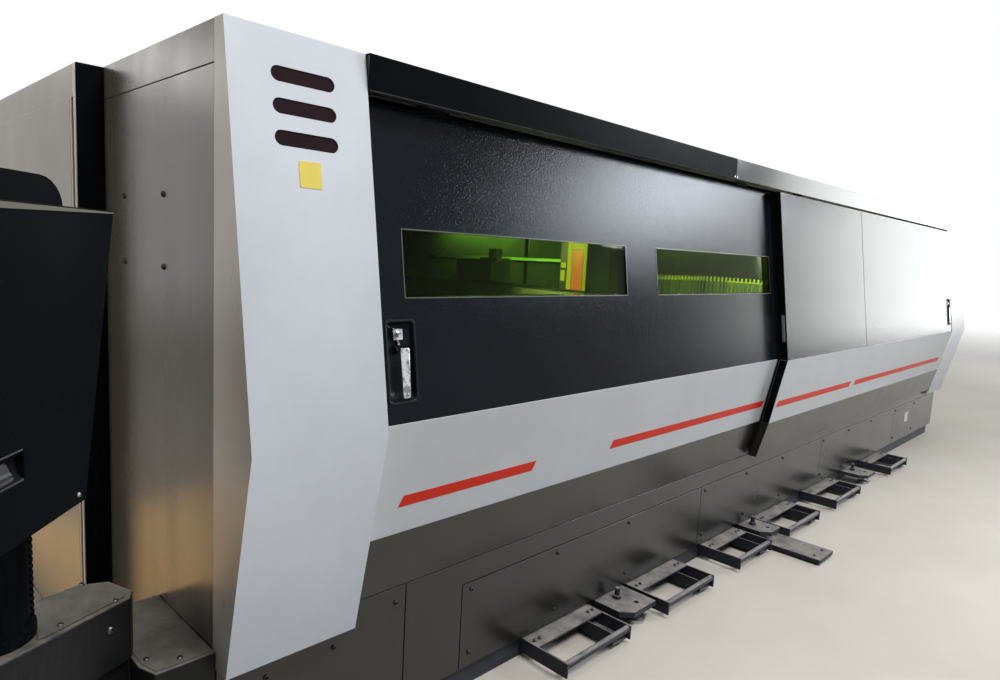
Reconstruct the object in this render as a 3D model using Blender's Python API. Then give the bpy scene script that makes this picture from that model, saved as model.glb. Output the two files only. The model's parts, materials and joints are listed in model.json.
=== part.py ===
"""Flat-bed laser cutting machine: enclosed cabin with two sliding doors on one long side.

Machine coordinates, in metres: X runs to the right along the front, with 0 on the left side
panel. Y runs from the front to the rear, with 0 on the rear edge of the corner pillars.
Z is up from the floor. One empty carries everything and puts the origin at the middle of the
underside of the whole machine.
"""

import math

import bmesh
import bpy
from mathutils import Matrix, Vector

# Fits
FIT = 0.0003
SHEET = 0.003
DOOR_RUN = 0.002

# Cabin
CABIN_LENGTH = 7.467
CABIN_HEIGHT = 2.142
CABIN_DEPTH = 2.700
PANEL_DEPTH = 0.035
ROOF_FLANGE = 0.102
PANEL_SEAM = 0.002
PANEL_FOOT = 0.100

# Front profile: how far each corner stands out in front of the pillar's rear edge
CREASE_HEIGHT = 1.102
PILLAR_CREASE_OUT = 0.214
PILLAR_TOP_OUT = 0.048
PILLAR_FOOT_OUT = 0.079
PILLAR_FOOT_HEIGHT = 0.467
LEFT_PILLAR_WIDTH = 0.400
RIGHT_PILLAR_WIDTH = 0.517

# Status lamp slots in the left pillar
LAMP_SLOT_LENGTH = 0.182
LAMP_SLOT_HEIGHT = 0.039
LAMP_SLOT_PITCH = 0.079
LAMP_SLOT_COUNT = 3
LAMP_TOP_DROP = 0.110
LAMP_SLOT_INSET = 0.112
LENS_THICKNESS = 0.004
LENS_MARGIN = 0.018

# Sliding doors
DOOR_SPLIT_FROM_LEFT = 3.140
DOOR_THICKNESS = 0.045
DOOR_LAP = 0.020
DOOR_TRACK_PITCH = 0.061
DOOR_TOP_DROP = 0.111
DOOR_TOP_OUT = 0.008
DOOR_CREASE_OUT = 0.149
BAND_FOOT_OUT = 0.079
BAND_FOOT_HEIGHT = 0.728
SILL_FOOT_OUT = 0.024
SILL_FOOT_HEIGHT = 0.516
HANGER_LENGTH = 0.120
HANGER_INSET = 0.250
HANGER_STEM = 0.010
HANGER_HEAD_WIDTH = 0.026
HANGER_HEAD_HEIGHT = 0.028
HANGER_ROOT = 0.026

# Windows in the left door, from the door's left edge
WINDOW_HEIGHT = 0.198
WINDOW_TOP_DROP = 0.361
WINDOW_LENGTH = 1.155
WINDOW_LEFT_INSET = 0.133
WINDOW_SPACING = 1.394
PANE_THICKNESS = 0.006
PANE_RECESS = 0.004

# Recessed door handles
HANDLE_WIDTH = 0.104
HANDLE_HEIGHT = 0.240
HANDLE_SILL = 0.062
HANDLE_LEFT_INSET = 0.056
HANDLE_RIGHT_INSET = 0.040
DISH_DEPTH = 0.030
DISH_WALL = 0.004
DISH_LIP = 0.003
LOCK_SIZE = 0.034
LOCK_DEPTH = 0.018
LOCK_BARREL = 0.009
LEVER_LENGTH = 0.150
LEVER_WIDTH = 0.034
LEVER_THICKNESS = 0.011
LEVER_BARREL = 0.010
LEVER_PIVOT_DEPTH = 0.011
LEVER_DROP = 0.091
LEVER_PLACE = 0.58
LOCK_PLACE = 0.475
LUG_THICKNESS = 0.008
LUG_HEIGHT = 0.024
LOCK_MARGIN = 0.020
LOCK_BARREL_LENGTH = 0.020

# Header over the doors
HEADER_HEIGHT = 0.0997
HEADER_FRONT_OUT = 0.069
HEADER_DEPTH = 0.219
HEADER_JOINTS = (2.600, 4.790)
TRACK_WALL = 0.004
TRACK_CAVITY = 0.036
TRACK_MOUTH = 0.016
TRACK_LIP = 0.004
TRACK_HEIGHT = 0.086
TRACK_CENTRE = 0.023

# Skirt under the doors
SKIRT_FRONT_OUT = 0.024
SKIRT_TOP = 0.514
SKIRT_FOOT = 0.095
SKIRT_CORNER_LENGTH = 0.636
SKIRT_POST_LENGTH = 0.259
COVER_TOP = 0.422
COVER_PITCH = 1.740
COVER_COUNT = 4
COVER_SEAM = 0.004

# Base and bed
BEAM_HEIGHT = 0.480
BEAM_DEPTH = 0.296
CROSS_HEIGHT = 0.300
CROSS_FOOT = 0.100
CROSS_WIDTH = 0.200
CROSS_LEFT = 1.200
CROSS_RIGHT = 5.500
GIRDER_LEFT = 0.850
GIRDER_LENGTH = 6.480
GIRDER_FRONT = 0.160
GIRDER_WIDTH = 0.200
GIRDER_HEIGHT = 0.480
RAIL_WIDTH = 0.050
RAIL_HEIGHT = 0.025
LEDGE_WIDTH = 0.080
LEDGE_THICKNESS = 0.030
LEDGE_DROP = 0.230
TROUGH_LEFT = 1.250
TROUGH_LENGTH = 4.400
TROUGH_FLOOR = 0.700
TROUGH_SIDE_GAP = 0.020
TROUGH_RISE = 0.290
TROUGH_SHEET = 0.006

# Floor fittings along the front of the base
GUARD_DEPTH = 0.250
GUARD_TOP = 0.080
GUARD_HEIGHT = 0.060
GUARD_FLAT = 0.008
GUARD_BAR = 0.030
GUARD_STRIP = 0.100
GUARD_WEB_INSET = 0.110
GUARD_RUNS = ((1.250, 0.430), (1.980, 0.430), (2.700, 0.390), (3.340, 0.480), (4.120, 0.490), (5.330, 0.450))
JACK_PLATES = ((1.730, 0.220), (3.150, 0.170), (4.880, 0.220))
JACK_PLATE_REACH = 0.200
JACK_PLATE_THICKNESS = 0.025
JACK_PLATE_TOP = 0.082
JACK_CHAMFER = 0.050
JACK_SCREW = 0.012
JACK_STUD_REACH = 0.070
JACK_STUD_HEIGHT = 0.050
JACK_NUT = 0.019
JACK_NUT_HEIGHT = 0.016
JACK_PAD = 0.045
JACK_PAD_HEIGHT = 0.022
TIE_BAR_LEFT = 3.140
TIE_BAR_WIDTH = 0.200
TIE_BAR_REACH = 0.500
TIE_BAR_THICKNESS = 0.022
TIE_BAR_TOP = 0.034

# Cabinet at the rear left
CABINET_STEP_OUT = 0.080
CABINET_WIDTH = 0.880
CABINET_FRONT = 0.836
CABINET_PLINTH = 0.100
CABINET_PLINTH_INSET = 0.040
CABINET_COVER_INSET = 0.040
CABINET_COVER_THICKNESS = 0.008

# Rear and right end
REAR_SPLIT = 4.100
SLOT_SILL = 0.700
SLOT_HEIGHT = 0.330
SLOT_MARGIN = 0.330
CURTAIN_DEPTH = 0.050
CURTAIN_SHEET = 0.004
CURTAIN_PLEATS = 44
CURTAIN_HEIGHT = 0.360
CURTAIN_GAP = 0.020

# Cutting pallet with saw-tooth slats
PALLET_LEFT = 1.300
PALLET_LENGTH = 4.100
PALLET_BAR_WIDTH = 0.060
PALLET_BAR_HEIGHT = 0.080
PALLET_SIDE_PLAY = 0.012
SLAT_PITCH = 0.130
SLAT_THICKNESS = 0.004
SLAT_BASE = 0.035
SLAT_HEIGHT = 0.145
TOOTH_DEPTH = 0.050
TOOTH_PITCH = 0.108

# Gantry, carriage and cutting head
GANTRY_LEFT = 1.750
GANTRY_BEAM_WIDTH = 0.300
GANTRY_BEAM_HEIGHT = 0.275
TRUCK_LENGTH = 0.500
TRUCK_HEIGHT = 0.190
TOWER_WIDTH = 0.170
TOWER_DEPTH = 0.160
TOWER_HEIGHT = 0.350
TOWER_INSET = 0.050
WAY_WIDTH = 0.030
WAY_HEIGHT = 0.020
CARRIAGE_Y = 1.100
CARRIAGE_WIDTH = 0.300
CARRIAGE_DEPTH = 0.120
CARRIAGE_HEIGHT = 0.420
HEAD_WIDTH = 0.140
HEAD_DEPTH = 0.120
HEAD_HEIGHT = 0.420
HEAD_CLEARANCE = 0.160
HEAD_OVERLAP = 0.010
NOZZLE_LENGTH = 0.090
NOZZLE_TOP_RADIUS = 0.032
NOZZLE_TIP_RADIUS = 0.007

# Operator console on its arm at the left side
PLATFORM_REACH = 0.175
PLATFORM_FRONT = -0.020
PLATFORM_LENGTH = 0.410
PLATFORM_TOP = 0.520
PLATFORM_HEIGHT = 0.240
PLATFORM_CHAMFER = 0.060
GUSSET_REACH = 0.330
GUSSET_POINTS = ((0.0, 0.200), (1.0, 0.190), (1.0, 0.050), (0.0, 0.105))
ARM_TOP = 0.690
ARM_POINTS = (
    (-0.158, 0.125),
    (-0.188, 0.215),
    (-0.258, 0.244),
    (-0.560, 0.160),
    (-0.640, 0.060),
    (-0.610, -0.100),
    (-0.176, 0.086),
)
POST_X = -0.475
POST_Y = 0.085
POST_RADIUS = 0.080
POST_FLANGE = 0.220
POST_FLANGE_HEIGHT = 0.025
HOSE_RADIUS = 0.017
HOSE_RIDGE = 0.004
HOSE_PITCH = 0.016
CONSOLE_YAW = math.radians(-41.8)
CONSOLE_RIGHT = 0.332
CONSOLE_WIDTH = 0.500
CONSOLE_REAR = -0.092
CONSOLE_DEPTH = 0.400
CONSOLE_FOOT = 1.112
CONSOLE_TOP = 1.660
CONSOLE_LEAN = 0.127
YOKE_WIDTH = 0.200
YOKE_HEIGHT = 0.0914
SCREEN_WIDTH = 0.400
SCREEN_HEIGHT = 0.300
SCREEN_SILL = 0.190
SCREEN_THICKNESS = 0.008
SCREEN_RECESS = 0.002
VISOR_LENGTH = 0.330
VISOR_HEIGHT = 0.052
VISOR_INSET = 0.040
VISOR_SETBACK = 0.150
VISOR_ROUND = 0.070
PULL_LENGTH = 0.110
PULL_HEIGHT = 0.055
PULL_DEPTH = 0.018
PULL_SETBACK = 0.313
PULL_SILL = 0.100
BUTTON_SILL = 0.095
BUTTON_SPACING = 0.110
BUTTON_STEM = 0.010
BUTTON_STEM_LENGTH = 0.014
BUTTON_TRAVEL = 0.004
STOP_RADIUS = 0.020
STOP_HEIGHT = 0.022
START_RADIUS = 0.014
START_HEIGHT = 0.010

ROUND_SEGMENTS = 24

# Places that follow from the sizes above
MIDDLE = (CABIN_DEPTH - PANEL_DEPTH) / 2
RIGHT_PILLAR_LEFT = CABIN_LENGTH - RIGHT_PILLAR_WIDTH
ROOF_UNDERSIDE = CABIN_HEIGHT - ROOF_FLANGE
PANEL_TOP = ROOF_UNDERSIDE - PANEL_SEAM
WALL_INNER = CABIN_DEPTH - PANEL_DEPTH
END_INNER = CABIN_LENGTH - PANEL_DEPTH
HEADER_FOOT = CABIN_HEIGHT - HEADER_HEIGHT
LAMP_TOP_HEIGHT = CABIN_HEIGHT - LAMP_TOP_DROP
DOOR_TOP_HEIGHT = CABIN_HEIGHT - DOOR_TOP_DROP
WINDOW_SILL_HEIGHT = DOOR_TOP_HEIGHT - WINDOW_TOP_DROP - WINDOW_HEIGHT
HANDLE_SILL_HEIGHT = CREASE_HEIGHT + HANDLE_SILL
HEADER_REAR = HEADER_DEPTH - HEADER_FRONT_OUT
TRACK_TOP = CABIN_HEIGHT - SHEET - FIT
TRACK_FOOT = TRACK_TOP - TRACK_HEIGHT
DOOR_1_LEFT = LEFT_PILLAR_WIDTH + DOOR_RUN
DOOR_1_RIGHT = DOOR_SPLIT_FROM_LEFT + DOOR_LAP
DOOR_2_LEFT = DOOR_SPLIT_FROM_LEFT
DOOR_2_RIGHT = RIGHT_PILLAR_LEFT - DOOR_RUN
UPPER_LEAN = math.atan2(DOOR_CREASE_OUT - DOOR_TOP_OUT, DOOR_TOP_HEIGHT - CREASE_HEIGHT)
CONSOLE_TILT = math.atan2(CONSOLE_LEAN, CONSOLE_TOP - CONSOLE_FOOT)
BEAM_REAR = FIT + BEAM_DEPTH
GIRDER_TOP = BEAM_HEIGHT + FIT + GIRDER_HEIGHT
GIRDER_INNER = GIRDER_FRONT + GIRDER_WIDTH
LEDGE_INNER = GIRDER_INNER + LEDGE_WIDTH
RAIL_TOP = GIRDER_TOP + RAIL_HEIGHT
LEDGE_TOP = GIRDER_TOP - LEDGE_DROP
CABINET_RIGHT = CABINET_WIDTH - CABINET_STEP_OUT
CHAMBER_LEFT = CABINET_RIGHT + FIT
GANTRY_RIGHT = GANTRY_LEFT + GANTRY_BEAM_WIDTH
BEAM_UNDERSIDE = RAIL_TOP + FIT + TRUCK_HEIGHT
GANTRY_TOP = BEAM_UNDERSIDE + GANTRY_BEAM_HEIGHT
PALLET_FOOT = LEDGE_TOP + FIT
PALLET_FRONT = GIRDER_INNER + PALLET_SIDE_PLAY
SLAT_TOP = PALLET_FOOT + SLAT_BASE + SLAT_HEIGHT
SLOT_TOP = SLOT_SILL + SLOT_HEIGHT
CARRIAGE_LEFT = GANTRY_RIGHT + WAY_HEIGHT + FIT
HEAD_LEFT = CARRIAGE_LEFT + CARRIAGE_DEPTH + FIT
HEAD_CENTRE_X = HEAD_LEFT + HEAD_DEPTH / 2
HEAD_CENTRE_Y = CARRIAGE_Y + CARRIAGE_WIDTH / 2
NOZZLE_TIP = SLAT_TOP + HEAD_CLEARANCE
HEAD_FOOT = NOZZLE_TIP + NOZZLE_LENGTH
PLATFORM_FOOT = PLATFORM_TOP - PLATFORM_HEIGHT
CONSOLE_MIDDLE = CONSOLE_RIGHT - CONSOLE_WIDTH / 2
POST_TOP = CONSOLE_FOOT - FIT - YOKE_HEIGHT - FIT

datum = None


def clear_scene():
    for item in list(bpy.data.objects):
        bpy.data.objects.remove(item, do_unlink=True)


def make_material(name, colour, roughness, metallic=0.0, alpha=1.0):
    material = bpy.data.materials.new(name)
    material.use_nodes = True
    shader = material.node_tree.nodes["Principled BSDF"]
    shader.inputs["Base Color"].default_value = (*colour, 1.0)
    shader.inputs["Roughness"].default_value = roughness
    shader.inputs["Metallic"].default_value = metallic
    shader.inputs["Alpha"].default_value = alpha
    return material


def make_empty(name, place=(0.0, 0.0, 0.0), turn=(0.0, 0.0, 0.0), parent=None):
    empty = bpy.data.objects.new(name, None)
    empty.location = place
    empty.rotation_euler = turn
    empty.parent = parent
    bpy.context.collection.objects.link(empty)
    return empty


def place_mesh(name, bm, material, parent=None, place=(0.0, 0.0, 0.0), turn=(0.0, 0.0, 0.0)):
    """Make one named object from a bmesh, carried by an empty."""
    bmesh.ops.recalc_face_normals(bm, faces=bm.faces)
    mesh = bpy.data.meshes.new(name)
    bm.to_mesh(mesh)
    bm.free()
    item = bpy.data.objects.new(name, mesh)
    item.location = place
    item.rotation_euler = turn
    item.parent = parent or datum
    bpy.context.collection.objects.link(item)
    if material:
        mesh.materials.append(material)
    return item


def prism(outline, start, end, along="x"):
    """Extrude an outline between two stations along one axis.

    Along x the outline's points are (y, z), along y they are (x, z), along z they are (x, y).
    """
    places = {
        "x": lambda a, b, s: (s, a, b),
        "y": lambda a, b, s: (a, s, b),
        "z": lambda a, b, s: (a, b, s),
    }[along]
    bm = bmesh.new()
    ring = [bm.verts.new(places(a, b, start)) for a, b in outline]
    face = bm.faces.new(ring)
    pushed = bmesh.ops.extrude_face_region(bm, geom=[face])
    moved = [part for part in pushed["geom"] if isinstance(part, bmesh.types.BMVert)]
    bmesh.ops.translate(bm, verts=moved, vec=Vector(places(0.0, 0.0, end - start)))
    bmesh.ops.recalc_face_normals(bm, faces=bm.faces)
    return bm


def block(x0, x1, y0, y1, z0, z1):
    return prism([(x0, y0), (x1, y0), (x1, y1), (x0, y1)], z0, z1, "z")


def turned(profile, segments=ROUND_SEGMENTS):
    """Turn a profile of (radius, height) points round Z; it starts and ends on the axis."""
    bm = bmesh.new()
    verts = [bm.verts.new((radius, 0.0, height)) for radius, height in profile]
    edges = [bm.edges.new(pair) for pair in zip(verts, verts[1:])]
    bmesh.ops.spin(bm, geom=verts + edges, cent=(0, 0, 0), axis=(0, 0, 1), angle=math.tau, steps=segments)
    bmesh.ops.remove_doubles(bm, verts=bm.verts, dist=0.00001)
    return bm


def turned_about(profile, direction, centre, segments=ROUND_SEGMENTS):
    """A turned shape whose axis points along a direction from a centre."""
    bm = turned(profile, segments)
    swing = Vector((0, 0, 1)).rotation_difference(Vector(direction)).to_matrix().to_4x4()
    bmesh.ops.transform(bm, matrix=Matrix.Translation(centre) @ swing, verts=bm.verts)
    return bm


def merge(target, extra):
    """Copy a second bmesh into the first and free it."""
    mesh = bpy.data.meshes.new("merge")
    extra.to_mesh(mesh)
    extra.free()
    target.from_mesh(mesh)
    bpy.data.meshes.remove(mesh)
    return target


def carve(item, tool_mesh, operation="DIFFERENCE"):
    """Cut a tool shape out of an object, or weld it on, and keep the result as the mesh."""
    tool = place_mesh(item.name + "_tool", tool_mesh, None)
    tool.parent = item.parent
    tool.location = item.location
    tool.rotation_euler = item.rotation_euler
    step = item.modifiers.new("carve", "BOOLEAN")
    step.operation = operation
    step.solver = "EXACT"
    step.object = tool
    bpy.context.view_layer.update()
    shaped = bpy.data.meshes.new_from_object(item.evaluated_get(bpy.context.evaluated_depsgraph_get()))
    item.modifiers.remove(step)
    bpy.data.objects.remove(tool, do_unlink=True)
    item.data = shaped
    return item


def weld(item, tool_mesh):
    return carve(item, tool_mesh, "UNION")


def smooth(item, angle=35.0):
    item.data.shade_smooth()
    item.data.set_sharp_from_angle(angle=math.radians(angle))
    return item


def slot_outline(centre_x, centre_z, length, height, steps=8):
    """Straight sides with round ends, as points in a plane."""
    radius = height / 2
    reach = length / 2 - radius
    points = []
    for side in (1, -1):
        for step in range(steps + 1):
            turn = side * math.pi / 2 * (1 - 2 * step / steps)
            across = centre_x + side * (reach + radius * math.cos(turn))
            points.append((across, centre_z + radius * math.sin(turn)))
    return points


def front_out(height, crease_out, top_out, top_height):
    """How far the leaning upper front stands out at a height."""
    return crease_out + (top_out - crease_out) * (height - CREASE_HEIGHT) / (top_height - CREASE_HEIGHT)


def door_out(height):
    return front_out(height, DOOR_CREASE_OUT, DOOR_TOP_OUT, DOOR_TOP_HEIGHT)


def pillar_out(height):
    return front_out(height, PILLAR_CREASE_OUT, PILLAR_TOP_OUT, CABIN_HEIGHT)


def mirror_y(points):
    """The same (y, z) outline on the far side of the chamber's middle plane."""
    return [(2 * MIDDLE - y, z) for y, z in points]


def inset(points, distance):
    """Move every edge of an outline inwards; the outline runs anticlockwise."""
    count = len(points)
    result = []
    for index in range(count):
        before = Vector(points[index - 1])
        here = Vector(points[index])
        after = Vector(points[(index + 1) % count])
        first = (here - before).normalized()
        second = (after - here).normalized()
        normal_1 = Vector((-first.y, first.x))
        normal_2 = Vector((-second.y, second.x))
        reach = distance / (1 + normal_1.dot(normal_2))
        result.append(tuple(here + (normal_1 + normal_2) * reach))
    return result


def pillar_outline(skin=0.0, rear=0.0):
    """Front profile of a corner pillar as (y, z); skin moves it in by the sheet's thickness."""
    return [
        (rear, PILLAR_FOOT_HEIGHT + skin),
        (rear, CABIN_HEIGHT - skin),
        (skin - pillar_out(CABIN_HEIGHT - skin), CABIN_HEIGHT - skin),
        (skin - PILLAR_CREASE_OUT, CREASE_HEIGHT),
        (skin - PILLAR_FOOT_OUT, PILLAR_FOOT_HEIGHT + skin),
    ]


def make_pillar(name, left, right, material):
    pillar = place_mesh(name, prism(pillar_outline(), left, right), material)
    hollow = prism(pillar_outline(SHEET, SHEET), left + SHEET, right - SHEET)
    return carve(pillar, hollow)


def make_left_pillar(finish):
    pillar = make_pillar("left_pillar", 0.0, LEFT_PILLAR_WIDTH, finish["silver"])
    middle = LAMP_SLOT_INSET + LAMP_SLOT_LENGTH / 2
    for index in range(LAMP_SLOT_COUNT):
        height = LAMP_TOP_HEIGHT - index * LAMP_SLOT_PITCH
        outline = slot_outline(middle, height, LAMP_SLOT_LENGTH, LAMP_SLOT_HEIGHT)
        carve(pillar, prism(outline, -PILLAR_CREASE_OUT, -SHEET, "y"))


def make_lamp_lens(finish):
    top = LAMP_TOP_HEIGHT + LAMP_SLOT_HEIGHT / 2 + LENS_MARGIN
    foot = LAMP_TOP_HEIGHT - (LAMP_SLOT_COUNT - 1) * LAMP_SLOT_PITCH - LAMP_SLOT_HEIGHT / 2 - LENS_MARGIN
    front = SHEET + FIT
    rear = front + LENS_THICKNESS
    outline = [
        (front - pillar_out(foot), foot),
        (rear - pillar_out(foot), foot),
        (rear - pillar_out(top), top),
        (front - pillar_out(top), top),
    ]
    left = LAMP_SLOT_INSET - LENS_MARGIN
    right = LAMP_SLOT_INSET + LAMP_SLOT_LENGTH + LENS_MARGIN
    place_mesh("status_lamp_lens", prism(outline, left, right), finish["lens"])


def make_headers(finish):
    front = -HEADER_FRONT_OUT
    outline = [
        (front, CABIN_HEIGHT),
        (front, HEADER_FOOT),
        (front + SHEET, HEADER_FOOT),
        (front + SHEET, CABIN_HEIGHT - SHEET),
        (HEADER_REAR - SHEET, CABIN_HEIGHT - SHEET),
        (HEADER_REAR - SHEET, HEADER_FOOT),
        (HEADER_REAR, HEADER_FOOT),
        (HEADER_REAR, CABIN_HEIGHT),
    ]
    stations = [LEFT_PILLAR_WIDTH, *HEADER_JOINTS, RIGHT_PILLAR_LEFT]
    for name, left, right in zip(("left", "middle", "right"), stations, stations[1:]):
        place_mesh("header_" + name, prism(outline, left + FIT, right - FIT), finish["black"])


def track_slot(centre):
    mouth = TRACK_MOUTH / 2
    cavity = TRACK_CAVITY / 2
    lip = TRACK_FOOT + TRACK_LIP
    top = lip + HANGER_HEAD_HEIGHT + 2 * DOOR_RUN
    return [
        (centre - mouth, TRACK_FOOT),
        (centre - mouth, lip),
        (centre - cavity, lip),
        (centre - cavity, top),
        (centre + cavity, top),
        (centre + cavity, lip),
        (centre + mouth, lip),
        (centre + mouth, TRACK_FOOT),
    ]


def make_door_track(finish):
    edge = TRACK_CAVITY / 2 + TRACK_WALL
    front = TRACK_CENTRE - DOOR_TRACK_PITCH
    outline = [(front - edge, TRACK_TOP), (front - edge, TRACK_FOOT)]
    outline += track_slot(front)
    outline += track_slot(TRACK_CENTRE)
    outline += [(TRACK_CENTRE + edge, TRACK_FOOT), (TRACK_CENTRE + edge, TRACK_TOP)]
    track = prism(outline, LEFT_PILLAR_WIDTH + 2 * SHEET, RIGHT_PILLAR_LEFT - 2 * SHEET)
    place_mesh("door_track", track, finish["steel"])


def slanted(x0, x1, z0, z1, front, rear, out):
    """A block whose front and rear follow a leaning face; out gives the face at a height."""
    outline = [(front - out(z0), z0), (rear - out(z0), z0), (rear - out(z1), z1), (front - out(z1), z1)]
    return prism(outline, x0, x1)


def door_slab(left, right, foot, top, foot_out, top_out, shift):
    outline = [
        (-foot_out - shift, foot),
        (DOOR_THICKNESS - foot_out - shift, foot),
        (DOOR_THICKNESS - top_out - shift, top),
        (-top_out - shift, top),
    ]
    return prism(outline, left, right)


def hanger(centre, left):
    stem = HANGER_STEM / 2
    head = HANGER_HEAD_WIDTH / 2
    seat = TRACK_FOOT + TRACK_LIP + FIT
    root = DOOR_TOP_HEIGHT - HANGER_ROOT
    outline = [
        (centre - stem, root),
        (centre + stem, root),
        (centre + stem, seat),
        (centre + head, seat),
        (centre + head, seat + HANGER_HEAD_HEIGHT),
        (centre - head, seat + HANGER_HEAD_HEIGHT),
        (centre - head, seat),
        (centre - stem, seat),
    ]
    return prism(outline, left, left + HANGER_LENGTH)


def make_door(name, left, right, shift, handle_left, finish, carrier):
    """One sliding door: leaning upper panel, silver band, dark foot band and its hangers."""
    out = lambda height: door_out(height) + shift
    upper = door_slab(left, right, CREASE_HEIGHT + FIT, DOOR_TOP_HEIGHT, DOOR_CREASE_OUT, DOOR_TOP_OUT, shift)
    panel = place_mesh(name + "_panel", upper, finish["black"], carrier)
    for station in (left + HANGER_INSET, right - HANGER_INSET - HANGER_LENGTH):
        weld(panel, hanger(TRACK_CENTRE - shift, station))
    pocket = slanted(
        handle_left - FIT,
        handle_left + HANDLE_WIDTH + FIT,
        HANDLE_SILL_HEIGHT - FIT,
        HANDLE_SILL_HEIGHT + HANDLE_HEIGHT + FIT,
        -DOOR_THICKNESS,
        DISH_DEPTH + FIT,
        out,
    )
    carve(panel, pocket)
    band_foot = BAND_FOOT_HEIGHT + FIT
    band = door_slab(left, right, band_foot, CREASE_HEIGHT, BAND_FOOT_OUT, DOOR_CREASE_OUT, shift)
    place_mesh(name + "_band", band, finish["silver"], carrier)
    sill = door_slab(left, right, SILL_FOOT_HEIGHT, BAND_FOOT_HEIGHT, SILL_FOOT_OUT, BAND_FOOT_OUT, shift)
    place_mesh(name + "_foot", sill, finish["charcoal"], carrier)
    make_handle(name, handle_left, out, finish, carrier)
    return panel


def make_handle(name, left, out, finish, carrier):
    """A recessed dish with hinge lugs, a square lock in its upper half and a swing lever."""
    right = left + HANDLE_WIDTH
    top = HANDLE_SILL_HEIGHT + HANDLE_HEIGHT
    dish_mesh = slanted(left, right, HANDLE_SILL_HEIGHT, top, -DISH_LIP, DISH_DEPTH, out)
    dish = place_mesh(name + "_handle_dish", dish_mesh, finish["plastic"], carrier)
    floor = DISH_DEPTH - DISH_WALL
    foot = HANDLE_SILL_HEIGHT + DISH_WALL
    ceiling = top - DISH_WALL
    carve(dish, slanted(left + DISH_WALL, right - DISH_WALL, foot, ceiling, -DISH_DEPTH, floor, out))
    middle = left + HANDLE_WIDTH * LEVER_PLACE
    pivot = top - LEVER_DROP
    reach = LEVER_WIDTH / 2 + FIT
    low = pivot - LUG_HEIGHT / 2
    high = pivot + LUG_HEIGHT / 2
    for side in (middle - reach - LUG_THICKNESS, middle + reach):
        weld(dish, slanted(side, side + LUG_THICKNESS, low, high, 0.0, floor + DISH_WALL / 2, out))
    make_lock(name, left + HANDLE_WIDTH * LOCK_PLACE, top, floor, out, finish, carrier)
    make_lever(name, middle, pivot, out, finish, carrier)


def make_lock(name, middle, top, floor, out, finish, carrier):
    high = top - DISH_WALL - LOCK_MARGIN
    low = high - LOCK_SIZE
    side = LOCK_SIZE / 2
    body = slanted(middle - side, middle + side, low, high, floor - FIT - LOCK_DEPTH, floor - FIT, out)
    lock = place_mesh(name + "_lock", body, finish["chrome"], carrier)
    height = (low + high) / 2
    direction = (0.0, -math.cos(UPPER_LEAN), math.sin(UPPER_LEAN))
    centre = (middle, floor - FIT - LOCK_DEPTH / 2 - out(height), height)
    profile = [(0, 0), (LOCK_BARREL, 0), (LOCK_BARREL, LOCK_BARREL_LENGTH), (0, LOCK_BARREL_LENGTH)]
    weld(lock, turned_about(profile, direction, centre))


def make_lever(name, middle, pivot, out, finish, carrier):
    """The lever hangs from a pin at its top and swings out from the bottom."""
    barrel = LEVER_BARREL
    face = -LEVER_PIVOT_DEPTH
    front = face - LEVER_THICKNESS
    tail = barrel - LEVER_LENGTH
    nose = LEVER_THICKNESS / 3
    outline = [
        (front + nose, tail),
        (face, tail),
        (face, -2 * barrel),
        (barrel / 2, -barrel),
        (barrel, -barrel / 2),
        (barrel, barrel / 2),
        (barrel / 2, barrel),
        (front + nose, barrel),
        (front, barrel - nose),
        (front, tail + nose),
    ]
    centre = (middle, LEVER_PIVOT_DEPTH - out(pivot), pivot)
    hinge = make_empty(name + "_lever_hinge", centre, (-UPPER_LEAN, 0.0, 0.0), carrier)
    lever = prism(outline, -LEVER_WIDTH / 2, LEVER_WIDTH / 2)
    place_mesh(name + "_lever", lever, finish["chrome"], hinge)


def make_doors(finish):
    carrier = make_empty("door_1_slide", parent=datum)
    handle = DOOR_1_LEFT + HANDLE_LEFT_INSET - DOOR_RUN
    panel = make_door("door_1", DOOR_1_LEFT, DOOR_1_RIGHT, 0.0, handle, finish, carrier)
    for index, name in enumerate(("left", "right")):
        left = DOOR_1_LEFT + WINDOW_LEFT_INSET + index * WINDOW_SPACING
        right = left + WINDOW_LENGTH
        top = WINDOW_SILL_HEIGHT + WINDOW_HEIGHT
        reach = 2 * DOOR_THICKNESS
        carve(panel, slanted(left, right, WINDOW_SILL_HEIGHT, top, -reach, reach, door_out))
        pane = slanted(
            left + FIT,
            right - FIT,
            WINDOW_SILL_HEIGHT + FIT,
            top - FIT,
            PANE_RECESS,
            PANE_RECESS + PANE_THICKNESS,
            door_out,
        )
        place_mesh("door_1_window_" + name, pane, finish["glass"], carrier)
    carrier = make_empty("door_2_slide", parent=datum)
    handle = DOOR_2_RIGHT - HANDLE_RIGHT_INSET - HANDLE_WIDTH
    make_door("door_2", DOOR_2_LEFT, DOOR_2_RIGHT, DOOR_TRACK_PITCH, handle, finish, carrier)


def pan_front(name, outline, material, depth=SKIRT_FRONT_OUT):
    """A folded sheet seen from the front: an (x, z) outline whose edges turn to the rear."""
    item = place_mesh(name, prism(outline, -depth, 0.0, "y"), material)
    return carve(item, prism(inset(outline, SHEET), SHEET - depth, SHEET, "y"))


def rectangle(x0, x1, z0, z1):
    return [(x0, z0), (x1, z0), (x1, z1), (x0, z1)]


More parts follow.
